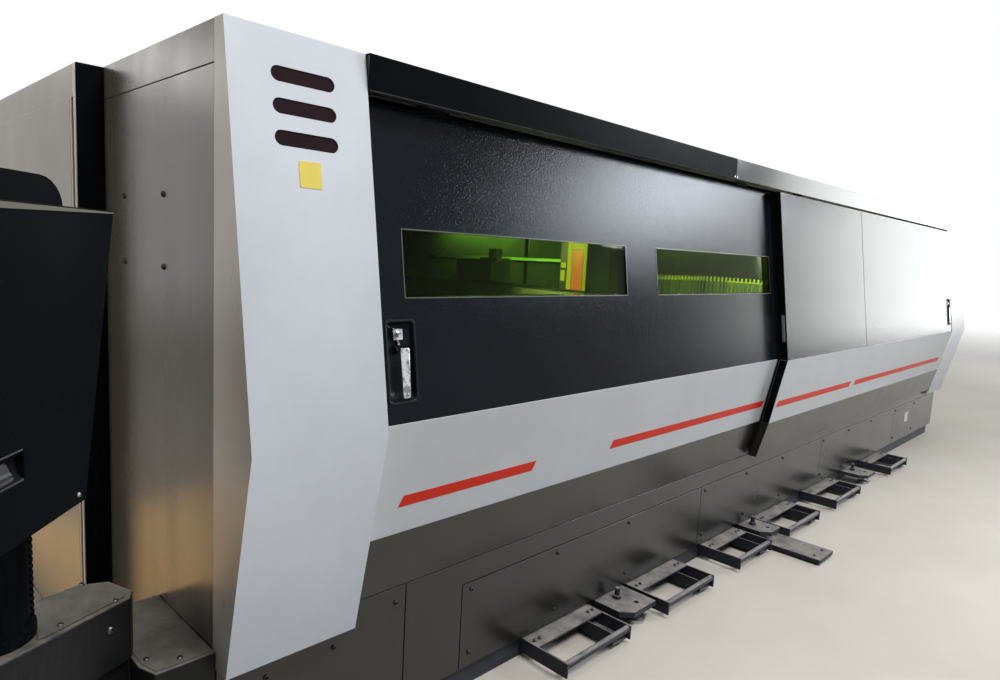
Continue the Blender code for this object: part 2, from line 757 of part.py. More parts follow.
def make_skirt(finish):
    post_left = SKIRT_CORNER_LENGTH + COVER_SEAM / 2
    corner_right = SKIRT_CORNER_LENGTH - COVER_SEAM / 2
    pillar_foot = PILLAR_FOOT_HEIGHT - FIT
    step = LEFT_PILLAR_WIDTH + FIT
    corner = [
        (0.0, SKIRT_FOOT),
        (corner_right, SKIRT_FOOT),
        (corner_right, SKIRT_TOP),
        (step, SKIRT_TOP),
        (step, pillar_foot),
        (0.0, pillar_foot),
    ]
    pan_front("skirt_corner", corner, finish["charcoal"])
    post_right = SKIRT_CORNER_LENGTH + SKIRT_POST_LENGTH - COVER_SEAM / 2
    rail_foot = COVER_TOP + COVER_SEAM
    rail_right = RIGHT_PILLAR_LEFT - FIT
    rail = [
        (post_left, SKIRT_FOOT),
        (post_right, SKIRT_FOOT),
        (post_right, rail_foot),
        (CABIN_LENGTH, rail_foot),
        (CABIN_LENGTH, pillar_foot),
        (rail_right, pillar_foot),
        (rail_right, SKIRT_TOP),
        (post_left, SKIRT_TOP),
    ]
    pan_front("skirt_rail", rail, finish["charcoal"])
    for index in range(COVER_COUNT):
        left = post_right + COVER_SEAM + index * COVER_PITCH
        right = min(left + COVER_PITCH - COVER_SEAM, CABIN_LENGTH)
        if index == COVER_COUNT - 1:
            right = CABIN_LENGTH
        outline = rectangle(left, right, SKIRT_FOOT, COVER_TOP)
        pan_front("skirt_cover_%d" % (index + 1), outline, finish["charcoal"])


def add_guard(beam, left, length):
    """A kerb frame bolted to the base: two side flats, a rear strip, a web and a round bar."""
    right = left + length
    front = -GUARD_DEPTH
    rear = FIT + GUARD_BAR
    foot = GUARD_TOP - GUARD_HEIGHT
    bar_y = front + GUARD_BAR / 2
    frame = block(left, left + GUARD_FLAT, front, rear, foot, GUARD_TOP)
    weld(beam, frame)
    weld(beam, block(right - GUARD_FLAT, right, front, rear, foot, GUARD_TOP))
    inside = GUARD_FLAT / 2
    strip = block(left + inside, right - inside, -GUARD_STRIP, rear, GUARD_TOP - GUARD_FLAT, GUARD_TOP - FIT)
    weld(beam, strip)
    web = right - GUARD_WEB_INSET
    weld(beam, block(web, web + GUARD_FLAT / 2, bar_y, rear, foot, GUARD_TOP - GUARD_FLAT / 2))
    weld(beam, block(web, right - inside, bar_y, rear, foot, foot + GUARD_FLAT / 2))
    profile = [(0, 0), (GUARD_BAR / 2, 0), (GUARD_BAR / 2, length - GUARD_FLAT), (0, length - GUARD_FLAT)]
    centre = (left + inside, bar_y, GUARD_TOP - GUARD_BAR / 2 - GUARD_FLAT / 4)
    weld(beam, turned_about(profile, (1, 0, 0), centre, 16))


def jack_place(left, width):
    return left + width * 0.62, FIT - JACK_PLATE_REACH + JACK_CHAMFER


def add_jack_plate(beam, left, width):
    right = left + width
    front = -JACK_PLATE_REACH
    outline = [
        (left + JACK_CHAMFER, front),
        (right, front),
        (right, FIT + JACK_CHAMFER),
        (left, FIT + JACK_CHAMFER),
        (left, front + JACK_CHAMFER),
    ]
    foot = JACK_PLATE_TOP - JACK_PLATE_THICKNESS
    weld(beam, prism(outline, foot, JACK_PLATE_TOP, "z"))
    x, y = jack_place(left, width)
    radius = JACK_SCREW + FIT
    depth = 2 * JACK_PLATE_THICKNESS
    bore = [(0, 0), (radius, 0), (radius, depth), (0, depth)]
    carve(beam, turned_about(bore, (0, 0, 1), (x, y, foot - JACK_PLATE_THICKNESS / 2)))
    stud_x = left + width * 0.45
    stud_y = -JACK_STUD_REACH
    nut = [
        (0, 0),
        (JACK_NUT, 0),
        (JACK_NUT, JACK_NUT_HEIGHT),
        (JACK_SCREW, JACK_NUT_HEIGHT),
        (JACK_SCREW, JACK_STUD_HEIGHT),
        (0, JACK_STUD_HEIGHT),
    ]
    weld(beam, turned_about(nut, (0, 0, 1), (stud_x, stud_y, JACK_PLATE_TOP - FIT), 12))


def make_front_beam(finish):
    """Base beam under the doors with everything that is bolted to it at floor level."""
    left = PANEL_DEPTH + FIT
    bar = block(left, END_INNER - FIT, FIT, BEAM_REAR, 0.0, BEAM_HEIGHT)
    beam = place_mesh("base_beam_front", bar, finish["beam"])
    for start, length in GUARD_RUNS:
        add_guard(beam, start, length)
    for start, width in JACK_PLATES:
        add_jack_plate(beam, start, width)
    right = TIE_BAR_LEFT + TIE_BAR_WIDTH
    rear = FIT + TIE_BAR_THICKNESS
    foot = TIE_BAR_TOP - TIE_BAR_THICKNESS
    weld(beam, block(TIE_BAR_LEFT, right, -TIE_BAR_REACH, rear, foot, TIE_BAR_TOP))


def make_jacks(finish):
    """Levelling screws with a round pad; the one over the tie bar stands on the bar."""
    for index, (left, width) in enumerate(JACK_PLATES):
        x, y = jack_place(left, width)
        on_bar = TIE_BAR_LEFT < x < TIE_BAR_LEFT + TIE_BAR_WIDTH
        foot = TIE_BAR_TOP + FIT if on_bar else 0.0
        top = JACK_PLATE_TOP - JACK_PLATE_THICKNESS / 2
        profile = [
            (0, foot),
            (JACK_PAD, foot),
            (JACK_PAD, foot + JACK_PAD_HEIGHT * 0.6),
            (JACK_SCREW * 1.6, foot + JACK_PAD_HEIGHT),
            (JACK_SCREW, foot + JACK_PAD_HEIGHT),
            (JACK_SCREW, top),
            (0, top),
        ]
        name = "levelling_jack_%d" % (index + 1)
        smooth(place_mesh(name, turned(profile), finish["steel"], place=(x, y, 0.0)))


def make_rear_beam(finish):
    front = 2 * MIDDLE - BEAM_REAR
    rear = 2 * MIDDLE - FIT
    bar = block(CHAMBER_LEFT, END_INNER - FIT, front, rear, 0.0, BEAM_HEIGHT)
    place_mesh("base_beam_rear", bar, finish["beam"])


def make_cross_beams(finish):
    front = BEAM_REAR + FIT
    rear = 2 * MIDDLE - front
    flange = CROSS_WIDTH / 10
    web = CROSS_WIDTH / 20
    top = CROSS_FOOT + CROSS_HEIGHT
    for name, left in (("left", CROSS_LEFT), ("right", CROSS_RIGHT)):
        right = left + CROSS_WIDTH
        middle = left + CROSS_WIDTH / 2
        outline = [
            (left, CROSS_FOOT),
            (right, CROSS_FOOT),
            (right, CROSS_FOOT + flange),
            (middle + web, CROSS_FOOT + flange),
            (middle + web, top - flange),
            (right, top - flange),
            (right, top),
            (left, top),
            (left, top - flange),
            (middle - web, top - flange),
            (middle - web, CROSS_FOOT + flange),
            (left, CROSS_FOOT + flange),
        ]
        place_mesh("base_cross_beam_" + name, prism(outline, front, rear, "y"), finish["beam"])


def make_girders(finish):
    """Bed girders: a guide rail on top for the gantry and a ledge inside for the pallet."""
    foot = BEAM_HEIGHT + FIT
    rail = GIRDER_FRONT + (GIRDER_WIDTH - RAIL_WIDTH) / 2
    outline = [
        (GIRDER_FRONT, foot),
        (GIRDER_INNER, foot),
        (GIRDER_INNER, LEDGE_TOP - LEDGE_THICKNESS),
        (LEDGE_INNER, LEDGE_TOP - LEDGE_THICKNESS),
        (LEDGE_INNER, LEDGE_TOP),
        (GIRDER_INNER, LEDGE_TOP),
        (GIRDER_INNER, GIRDER_TOP),
        (rail + RAIL_WIDTH, GIRDER_TOP),
        (rail + RAIL_WIDTH, RAIL_TOP),
        (rail, RAIL_TOP),
        (rail, GIRDER_TOP),
        (GIRDER_FRONT, GIRDER_TOP),
    ]
    right = GIRDER_LEFT + GIRDER_LENGTH
    place_mesh("bed_girder_front", prism(outline, GIRDER_LEFT, right), finish["grey"])
    place_mesh("bed_girder_rear", prism(mirror_y(outline), GIRDER_LEFT, right), finish["grey"])


def make_trough(finish):
    foot = CROSS_FOOT + CROSS_HEIGHT + FIT
    top = foot + TROUGH_RISE
    edge = LEDGE_INNER + TROUGH_SIDE_GAP
    turn = MIDDLE - TROUGH_FLOOR / 2
    front = [(edge, top), (turn, foot)]
    outline = front + mirror_y(reversed(front))
    inner = [(edge + TROUGH_SHEET, top), (turn + TROUGH_SHEET / 2, foot + TROUGH_SHEET)]
    outline += mirror_y(inner) + list(reversed(inner))
    place_mesh("scrap_trough", prism(outline, TROUGH_LEFT, TROUGH_LEFT + TROUGH_LENGTH), finish["steel"])


def make_side_panel(finish):
    rear = CABINET_FRONT - FIT
    sheet = block(0.0, PANEL_DEPTH, FIT, rear, PANEL_FOOT, PANEL_TOP)
    panel = place_mesh("left_side_panel", sheet, finish["umber"])
    foot = PANEL_FOOT + SHEET
    carve(panel, block(SHEET, 2 * PANEL_DEPTH, FIT + SHEET, rear - SHEET, foot, PANEL_TOP - SHEET))


def make_cabinet(finish):
    left = -CABINET_STEP_OUT
    right = CABINET_RIGHT
    outline = [
        (left + CABINET_PLINTH_INSET, 0.0),
        (right - CABINET_PLINTH_INSET, 0.0),
        (right - CABINET_PLINTH_INSET, CABINET_PLINTH),
        (right, CABINET_PLINTH),
        (right, CABIN_HEIGHT),
        (left, CABIN_HEIGHT),
        (left, CABINET_PLINTH),
        (left + CABINET_PLINTH_INSET, CABINET_PLINTH),
    ]
    place_mesh("side_cabinet", prism(outline, CABINET_FRONT, CABIN_DEPTH, "y"), finish["umber"])
    front = CABINET_FRONT + CABINET_COVER_INSET
    rear = CABIN_DEPTH - CABINET_COVER_INSET
    foot = CABINET_PLINTH + CABINET_COVER_INSET
    outer = left - FIT
    cover = block(outer - CABINET_COVER_THICKNESS, outer, front, rear, foot, PANEL_TOP)
    place_mesh("side_cabinet_cover", cover, finish["umber"])


def make_rear_panels(finish):
    spans = ((CHAMBER_LEFT, REAR_SPLIT - FIT), (REAR_SPLIT + FIT, CABIN_LENGTH))
    for name, (left, right) in zip(("left", "right"), spans):
        wall = block(left, right, WALL_INNER, CABIN_DEPTH, PANEL_FOOT, PANEL_TOP)
        panel = place_mesh("rear_panel_" + name, wall, finish["charcoal"])
        inner = rectangle(left + SHEET, right - SHEET, PANEL_FOOT + SHEET, PANEL_TOP - SHEET)
        carve(panel, prism(inner, WALL_INNER - SHEET, CABIN_DEPTH - SHEET, "y"))


def make_roof(finish):
    """Three roof pans with deep edges that turn down over the walls."""
    first = HEADER_JOINTS[0]
    second = HEADER_JOINTS[1]
    front = HEADER_REAR + FIT
    plans = {
        "left": [
            (0.0, FIT),
            (LEFT_PILLAR_WIDTH, FIT),
            (LEFT_PILLAR_WIDTH, front),
            (first - FIT, front),
            (first - FIT, CABIN_DEPTH),
            (CHAMBER_LEFT, CABIN_DEPTH),
            (CHAMBER_LEFT, CABINET_FRONT - FIT),
            (0.0, CABINET_FRONT - FIT),
        ],
        "middle": rectangle(first + FIT, second - FIT, front, CABIN_DEPTH),
        "right": [
            (second + FIT, front),
            (RIGHT_PILLAR_LEFT, front),
            (RIGHT_PILLAR_LEFT, FIT),
            (CABIN_LENGTH, FIT),
            (CABIN_LENGTH, CABIN_DEPTH),
            (second + FIT, CABIN_DEPTH),
        ],
    }
    for name, plan in plans.items():
        roof = place_mesh("roof_" + name, prism(plan, ROOF_UNDERSIDE, CABIN_HEIGHT, "z"), finish["umber"])
        carve(roof, prism(inset(plan, SHEET), ROOF_UNDERSIDE - SHEET, CABIN_HEIGHT - SHEET, "z"))


def make_right_end(finish):
    wall = block(END_INNER, CABIN_LENGTH, FIT, WALL_INNER - FIT, PANEL_FOOT, PANEL_TOP)
    panel = place_mesh("right_end_panel", wall, finish["charcoal"])
    rear = 2 * MIDDLE - SLOT_MARGIN
    carve(panel, block(END_INNER - SHEET, CABIN_LENGTH + SHEET, SLOT_MARGIN, rear, SLOT_SILL, SLOT_TOP))


def make_curtain(finish):
    """Pleated spatter curtain over the pallet slot, folded like a fan."""
    inner = END_INNER - FIT
    width = 2 * (MIDDLE - SLOT_MARGIN)
    outer_edge = []
    inner_edge = []
    for index in range(2 * CURTAIN_PLEATS + 1):
        y = SLOT_MARGIN + width * index / (2 * CURTAIN_PLEATS)
        fold = inner - (index % 2) * (CURTAIN_DEPTH - CURTAIN_SHEET)
        outer_edge.append((fold, y))
        inner_edge.append((fold - CURTAIN_SHEET, y))
    foot = SLOT_TOP + CURTAIN_GAP
    outline = outer_edge + list(reversed(inner_edge))
    place_mesh("slot_curtain", prism(outline, foot, foot + CURTAIN_HEIGHT, "z"), finish["grey"])


def slat_outline(front, rear):
    """Side view of one slat: straight foot and a row of saw teeth on top."""
    foot = PALLET_FOOT + SLAT_BASE
    count = int((rear - front) / TOOTH_PITCH)
    pitch = (rear - front) / count
    points = [(front, foot), (rear, foot)]
    for index in range(count, 0, -1):
        points.append((front + index * pitch, SLAT_TOP - TOOTH_DEPTH))
        points.append((front + (index - 0.5) * pitch, SLAT_TOP))
    points.append((front, SLAT_TOP - TOOTH_DEPTH))
    return points


def make_pallet(finish):
    """Cutting pallet: an open frame that carries a rank of saw-toothed support slats."""
    carrier = make_empty("pallet_slide", parent=datum)
    right = PALLET_LEFT + PALLET_LENGTH
    rear = 2 * MIDDLE - PALLET_FRONT
    top = PALLET_FOOT + PALLET_BAR_HEIGHT
    bar = PALLET_BAR_WIDTH
    outside = block(PALLET_LEFT, right, PALLET_FRONT, rear, PALLET_FOOT, top)
    frame = place_mesh("cutting_pallet", outside, finish["steel"], carrier)
    foot = PALLET_FOOT - bar
    carve(frame, block(PALLET_LEFT + bar, right - bar, PALLET_FRONT + bar, rear - bar, foot, top + bar))
    outline = slat_outline(PALLET_FRONT + bar / 2, rear - bar / 2)
    count = int((PALLET_LENGTH - 2 * bar) / SLAT_PITCH)
    first = PALLET_LEFT + (PALLET_LENGTH - (count - 1) * SLAT_PITCH) / 2
    slats = bmesh.new()
    for index in range(count):
        x = first + index * SLAT_PITCH
        merge(slats, prism(outline, x - SLAT_THICKNESS / 2, x + SLAT_THICKNESS / 2))
    weld(frame, slats)


def make_gantry(finish):
    """Bridge over the pallet with a truck on each rail and two ways for the carriage."""
    carrier = make_empty("gantry_slide", parent=datum)
    front = GIRDER_FRONT
    rear = 2 * MIDDLE - GIRDER_FRONT
    beam = block(GANTRY_LEFT, GANTRY_RIGHT, front, rear, BEAM_UNDERSIDE, GANTRY_TOP)
    gantry = place_mesh("gantry_beam", beam, finish["grey"], carrier)
    middle = (GANTRY_LEFT + GANTRY_RIGHT) / 2
    reach = TRUCK_LENGTH / 2
    foot = RAIL_TOP + FIT
    truck_top = BEAM_UNDERSIDE + WAY_WIDTH
    for y0, y1 in ((front, GIRDER_INNER), (2 * MIDDLE - GIRDER_INNER, rear)):
        weld(gantry, block(middle - reach, middle + reach, y0 + FIT, y1 - FIT, foot, truck_top))
    way_left = GANTRY_RIGHT - WAY_HEIGHT
    way_right = GANTRY_RIGHT + WAY_HEIGHT
    for height in (BEAM_UNDERSIDE + WAY_WIDTH, GANTRY_TOP - 2 * WAY_WIDTH):
        weld(gantry, block(way_left, way_right, front + SHEET, rear - SHEET, height, height + WAY_WIDTH))
    left = GANTRY_LEFT + TOWER_INSET
    right = left + TOWER_WIDTH
    front = GIRDER_FRONT + TOWER_INSET
    foot = GANTRY_TOP + FIT
    cover = block(left, right, front, front + TOWER_DEPTH, foot, foot + TOWER_HEIGHT)
    place_mesh("gantry_drive_cover", cover, finish["orange"], carrier)
    make_carriage(carrier, finish)


def make_carriage(gantry, finish):
    carrier = make_empty("carriage_slide", parent=gantry)
    foot = BEAM_UNDERSIDE - WAY_WIDTH
    right = CARRIAGE_LEFT + CARRIAGE_DEPTH
    body = block(CARRIAGE_LEFT, right, CARRIAGE_Y, CARRIAGE_Y + CARRIAGE_WIDTH, foot, foot + CARRIAGE_HEIGHT)
    place_mesh("carriage", body, finish["black"], carrier)
    lift = make_empty("head_slide", parent=carrier)
    side = HEAD_WIDTH / 2
    head_body = block(
        HEAD_LEFT,
        HEAD_LEFT + HEAD_DEPTH,
        HEAD_CENTRE_Y - side,
        HEAD_CENTRE_Y + side,
        HEAD_FOOT,
        HEAD_FOOT + HEAD_HEIGHT,
    )
    head = place_mesh("cutting_head", head_body, finish["silver"], lift)
    stack = HEAD_DEPTH / 3
    profile = [(0, 0), (stack, 0), (stack, HEAD_HEIGHT / 4), (0, HEAD_HEIGHT / 4)]
    top = HEAD_FOOT + HEAD_HEIGHT - HEAD_HEIGHT / 8
    weld(head, turned_about(profile, (0, 0, 1), (HEAD_CENTRE_X, HEAD_CENTRE_Y, top)))
    profile = [
        (0, 0),
        (NOZZLE_TIP_RADIUS, 0),
        (NOZZLE_TOP_RADIUS, NOZZLE_LENGTH * 0.6),
        (NOZZLE_TOP_RADIUS, NOZZLE_LENGTH + HEAD_OVERLAP),
        (0, NOZZLE_LENGTH + HEAD_OVERLAP),
    ]
    weld(head, turned_about(profile, (0, 0, 1), (HEAD_CENTRE_X, HEAD_CENTRE_Y, NOZZLE_TIP)))


def make_platform(finish):
    """Platform on the cabin's corner, with a gusset that runs out under the console's arm."""
    left = -PLATFORM_REACH
    front = PLATFORM_FRONT
    rear = front + PLATFORM_LENGTH
    outline = [(-FIT, front), (-FIT, rear), (left + PLATFORM_CHAMFER, rear), (left, rear - PLATFORM_CHAMFER)]
    outline += [(left - share * (GUSSET_REACH - PLATFORM_REACH), y) for share, y in GUSSET_POINTS]
    outline += [(left, front + PLATFORM_CHAMFER), (left + PLATFORM_CHAMFER / 3, front)]
    place_mesh("console_platform", prism(outline, PLATFORM_FOOT, PLATFORM_TOP, "z"), finish["charcoal"])
    arm = prism(ARM_POINTS, PLATFORM_TOP + FIT, ARM_TOP, "z")
    place_mesh("console_arm", arm, finish["charcoal"])


def make_post(finish):
    """Console column with a foot flange and a ribbed hose sleeve along its side."""
    foot = ARM_TOP + FIT
    flange = foot + POST_FLANGE_HEIGHT
    profile = [
        (0, foot),
        (POST_FLANGE / 2, foot),
        (POST_FLANGE / 2, flange),
        (POST_RADIUS, flange),
        (POST_RADIUS, POST_TOP),
        (0, POST_TOP),
    ]
    post = place_mesh("console_post", turned(profile), finish["black"], place=(POST_X, POST_Y, 0.0))
    start = foot + POST_FLANGE_HEIGHT / 2
    ridges = int((POST_TOP - HOSE_PITCH - start) / HOSE_PITCH)
    hose = [(0, start)]
    for index in range(ridges):
        z = start + index * HOSE_PITCH
        hose += [(HOSE_RADIUS, z), (HOSE_RADIUS + HOSE_RIDGE, z + HOSE_PITCH / 4)]
        hose += [(HOSE_RADIUS + HOSE_RIDGE, z + HOSE_PITCH / 2), (HOSE_RADIUS, z + HOSE_PITCH * 0.75)]
    hose.append((0, start + (ridges - 0.25) * HOSE_PITCH))
    weld(post, turned_about(hose, (0, 0, 1), (POST_RADIUS + HOSE_RADIUS / 2, HOSE_RADIUS, 0.0), 10))
    smooth(post)


def console_face(height):
    """How far the console's leaning screen side stands in front of the swivel axis."""
    return CONSOLE_DEPTH - CONSOLE_REAR + CONSOLE_LEAN * (CONSOLE_TOP - height) / (CONSOLE_TOP - CONSOLE_FOOT)


def visor_outline():
    """Rounded hood on top of the console, as (y, z)."""
    rear = CONSOLE_REAR - VISOR_SETBACK
    front = rear - VISOR_LENGTH
    foot = CONSOLE_TOP - SHEET
    rise = VISOR_HEIGHT + SHEET
    points = [(front, foot)]
    steps = 6
    for step in range(steps + 1):
        turn = math.pi / 2 * step / steps
        points.append((rear - VISOR_ROUND * (1 - math.cos(turn)), foot + rise * math.sin(turn)))
    points.append((front, foot + rise))
    return points


def make_console(finish):
    carrier = make_empty("console_swivel", (POST_X, POST_Y, 0.0), (0.0, 0.0, CONSOLE_YAW), datum)
    left = CONSOLE_RIGHT - CONSOLE_WIDTH
    half = YOKE_WIDTH / 2
    foot_rear = CONSOLE_REAR - CONSOLE_LEAN
    yoke_front = foot_rear - CONSOLE_DEPTH / 2
    yoke = block(-half, half, yoke_front, POST_RADIUS, POST_TOP + FIT, CONSOLE_FOOT - FIT)
    place_mesh("console_yoke", yoke, finish["charcoal"], carrier)
    outline = [
        (CONSOLE_REAR, CONSOLE_TOP),
        (foot_rear, CONSOLE_FOOT),
        (foot_rear - CONSOLE_DEPTH, CONSOLE_FOOT),
        (CONSOLE_REAR - CONSOLE_DEPTH, CONSOLE_TOP),
    ]
    housing = place_mesh("console_housing", prism(outline, left, CONSOLE_RIGHT), finish["black"], carrier)
    weld(housing, prism(visor_outline(), left + VISOR_INSET, CONSOLE_RIGHT - VISOR_INSET))
    pull_rear = CONSOLE_REAR - PULL_SETBACK
    pull_foot = CONSOLE_FOOT + PULL_SILL
    pull = block(
        CONSOLE_RIGHT - PULL_DEPTH,
        CONSOLE_RIGHT + PULL_DEPTH,
        pull_rear - PULL_LENGTH,
        pull_rear,
        pull_foot,
        pull_foot + PULL_HEIGHT,
    )
    carve(housing, pull)
    x0 = CONSOLE_MIDDLE - SCREEN_WIDTH / 2
    x1 = CONSOLE_MIDDLE + SCREEN_WIDTH / 2
    z0 = CONSOLE_FOOT + SCREEN_SILL
    z1 = z0 + SCREEN_HEIGHT
    rear = SCREEN_RECESS + SCREEN_THICKNESS
    seat = slanted(x0 - FIT, x1 + FIT, z0 - FIT, z1 + FIT, -SCREEN_THICKNESS, rear + FIT, console_face)
    carve(housing, seat)
    screen = slanted(x0, x1, z0, z1, SCREEN_RECESS, rear, console_face)
    place_mesh("console_screen", screen, finish["glass"], carrier)
    make_buttons(housing, carrier, finish)


def make_buttons(housing, carrier, finish):
    height = CONSOLE_FOOT + BUTTON_SILL
    direction = (0.0, -math.cos(CONSOLE_TILT), math.sin(CONSOLE_TILT))
    kinds = (
        ("stop_button", -BUTTON_SPACING, STOP_RADIUS, STOP_HEIGHT, "red"),
        ("start_button", BUTTON_SPACING, START_RADIUS, START_HEIGHT, "green"),
    )
    hole = BUTTON_STEM + FIT
    depth = BUTTON_STEM_LENGTH + 2 * BUTTON_TRAVEL
    for name, offset, radius, rise, colour in kinds:
        place = (CONSOLE_MIDDLE + offset, -console_face(height), height)
        bore = [(0, -depth), (hole, -depth), (hole, depth), (0, depth)]
        carve(housing, turned_about(bore, direction, place))
        gap = BUTTON_TRAVEL * 1.5
        profile = [
            (0, -BUTTON_STEM_LENGTH),
            (BUTTON_STEM, -BUTTON_STEM_LENGTH),
            (BUTTON_STEM, gap),
            (radius, gap),
            (radius, gap + rise * 0.6),
            (radius * 0.7, gap + rise),
            (0, gap + rise),
        ]
        turn = (math.pi / 2 - CONSOLE_TILT, 0.0, 0.0)
        smooth(place_mesh(name, turned(profile), finish[colour], carrier, place, turn))


def make_finishes():
    return {
        "silver": make_material("pale_silver_paint", (0.60, 0.62, 0.64), 0.35, 0.3),
        "black": make_material("blue_black_texture_paint", (0.018, 0.021, 0.027), 0.30),
        "charcoal": make_material("charcoal_texture_paint", (0.045, 0.043, 0.040), 0.42),
        "umber": make_material("umber_grey_texture_paint", (0.10, 0.09, 0.08), 0.38),
        "beam": make_material("blue_grey_paint", (0.035, 0.038, 0.055), 0.5),
        "grey": make_material("machine_grey_paint", (0.32, 0.33, 0.33), 0.5),
        "steel": make_material("bright_steel", (0.42, 0.42, 0.42), 0.4, 0.9),
        "chrome": make_material("polished_chrome", (0.75, 0.76, 0.78), 0.12, 1.0),
        "plastic": make_material("black_plastic", (0.02, 0.02, 0.02), 0.4),
        "orange": make_material("orange_red_paint", (0.65, 0.12, 0.04), 0.4),
        "glass": make_material("green_laser_glass", (0.05, 0.14, 0.03), 0.05, 0.0, 0.6),
        "lens": make_material("smoked_lens", (0.06, 0.03, 0.04), 0.2),
        "red": make_material("stop_red", (0.60, 0.02, 0.01), 0.35),
        "green": make_material("start_green", (0.03, 0.35, 0.06), 0.35),
    }


def centre_on_floor():
    """Move everything so that the origin is the middle of the underside."""
    bpy.context.view_layer.update()
    corners = []
    for item in bpy.data.objects:
        if item.type == "MESH":
            corners += [item.matrix_world @ vert.co for vert in item.data.vertices]
    low = [min(corner[axis] for corner in corners) for axis in range(3)]
    high = [max(corner[axis] for corner in corners) for axis in range(3)]
    datum.location = (-(low[0] + high[0]) / 2, -(low[1] + high[1]) / 2, -low[2])
    bpy.context.view_layer.update()


def main():
    global datum
    clear_scene()
    datum = make_empty("machine_datum")
    finish = make_finishes()
    make_left_pillar(finish)
    make_pillar("right_pillar", RIGHT_PILLAR_LEFT, CABIN_LENGTH, finish["silver"])
    make_lamp_lens(finish)
    make_headers(finish)
    make_door_track(finish)
    make_doors(finish)
    make_skirt(finish)
    make_front_beam(finish)
    make_jacks(finish)
    make_rear_beam(finish)
    make_cross_beams(finish)
    make_girders(finish)
    make_trough(finish)
    make_side_panel(finish)
    make_cabinet(finish)
    make_rear_panels(finish)
    make_roof(finish)
    make_right_end(finish)
    make_curtain(finish)
    make_pallet(finish)
    make_gantry(finish)
    make_platform(finish)
    make_post(finish)
    make_console(finish)
    centre_on_floor()


main()
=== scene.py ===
"""Looks of an enclosed flat-bed laser cutting machine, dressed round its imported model.

Row frame in metres: +X runs right along the doors, +Y to the rear, +Z up. The machine's own
measures start at the rear edge of the left pillar: along from the left side panel, back from
the pillar's rear edge and up from the floor.
"""
import json
import math

import bmesh
import bpy
from mathutils import Matrix, Vector
from mathutils.bvhtree import BVHTree


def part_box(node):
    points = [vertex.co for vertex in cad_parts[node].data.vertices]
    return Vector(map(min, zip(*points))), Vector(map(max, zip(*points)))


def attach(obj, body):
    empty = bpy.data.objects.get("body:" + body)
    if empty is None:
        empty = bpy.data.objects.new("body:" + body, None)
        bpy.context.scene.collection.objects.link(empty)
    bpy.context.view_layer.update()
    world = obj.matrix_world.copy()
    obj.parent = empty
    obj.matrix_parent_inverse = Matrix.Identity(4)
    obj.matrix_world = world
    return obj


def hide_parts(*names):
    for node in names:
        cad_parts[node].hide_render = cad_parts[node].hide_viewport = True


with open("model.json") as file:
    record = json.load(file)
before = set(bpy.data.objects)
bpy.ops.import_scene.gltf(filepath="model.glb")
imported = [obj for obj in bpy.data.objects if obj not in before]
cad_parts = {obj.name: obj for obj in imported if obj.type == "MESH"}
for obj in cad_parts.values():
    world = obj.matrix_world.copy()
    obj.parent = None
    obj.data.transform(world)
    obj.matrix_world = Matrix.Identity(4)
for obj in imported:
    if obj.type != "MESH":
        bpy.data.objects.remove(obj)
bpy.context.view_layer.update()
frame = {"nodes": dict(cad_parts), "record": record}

# Camera at the photograph's viewing angle
CAMERA_PLACE = (-3.978, -2.7935, 1.6242)
CAMERA_TURN = (82.702, -3.109, -45.438)
CAMERA_LENS = 25.11

# Sizes of the surface details
HAIR = 0.0004
PLATE_LIFT = 0.0012
TRIM_WIDTH = 0.0045
STRIPE_HEIGHT = 0.037
STRIPE_SLANT = 0.45
STRIPE_CENTRE = 0.840
SCREW_HEAD = 0.013
BOLT_HEAD = 0.019

# The machine's corner, from which its measures run
LOW_PILLAR, HIGH_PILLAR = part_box("left_pillar")
CORNER = Vector((LOW_PILLAR.x, HIGH_PILLAR.y, 0.0))

BODY_OF = {node: body for body, nodes in frame["record"]["behaviour"]["bodies"].items() for node in nodes}


def at(along, back, up):
    """A point in the row frame from the machine's own measures."""
    return CORNER + Vector((along, back, up))


# Shader node groups

def new_group(name, inputs, outputs):
    group = bpy.data.node_groups.new(name, "ShaderNodeTree")
    for label, kind, value in inputs:
        socket = group.interface.new_socket(label, in_out="INPUT", socket_type=kind)
        if value is not None:
            socket.default_value = value
    for label, kind in outputs:
        group.interface.new_socket(label, in_out="OUTPUT", socket_type=kind)
    return group, group.nodes.new("NodeGroupInput"), group.nodes.new("NodeGroupOutput")


def noise(tree, vector, scale, detail=2.0, roughness=0.5):
    node = tree.nodes.new("ShaderNodeTexNoise")
    node.inputs["Detail"].default_value = detail
    node.inputs["Roughness"].default_value = roughness
    tree.links.new(vector, node.inputs["Vector"])
    if isinstance(scale, (int, float)):
        node.inputs["Scale"].default_value = scale
    else:
        tree.links.new(scale, node.inputs["Scale"])
    return node.outputs["Fac"]


def ramp(tree, value, low, high, to_low=0.0, to_high=1.0):
    """One range of a value spread over another, and held at its ends."""
    node = tree.nodes.new("ShaderNodeMapRange")
    for label, number in (("From Min", low), ("From Max", high), ("To Min", to_low), ("To Max", to_high)):
        if isinstance(number, (int, float)):
            node.inputs[label].default_value = number
        else:
            tree.links.new(number, node.inputs[label])
    tree.links.new(value, node.inputs["Value"])
    return node.outputs["Result"]


def sums(tree, operation, first, second):
    """One Math node on two numbers or sockets."""
    node = tree.nodes.new("ShaderNodeMath")
    node.operation = operation
    for index, value in enumerate((first, second)):
        if isinstance(value, (int, float)):
            node.inputs[index].default_value = value
        else:
            tree.links.new(value, node.inputs[index])
    return node.outputs[0]


def stretched(tree, vector, scale):
    """A pattern's coordinates, drawn out or pressed together along each axis."""
    node = tree.nodes.new("ShaderNodeMapping")
    node.inputs["Scale"].default_value = scale
    tree.links.new(vector, node.inputs["Vector"])
    return node.outputs["Vector"]


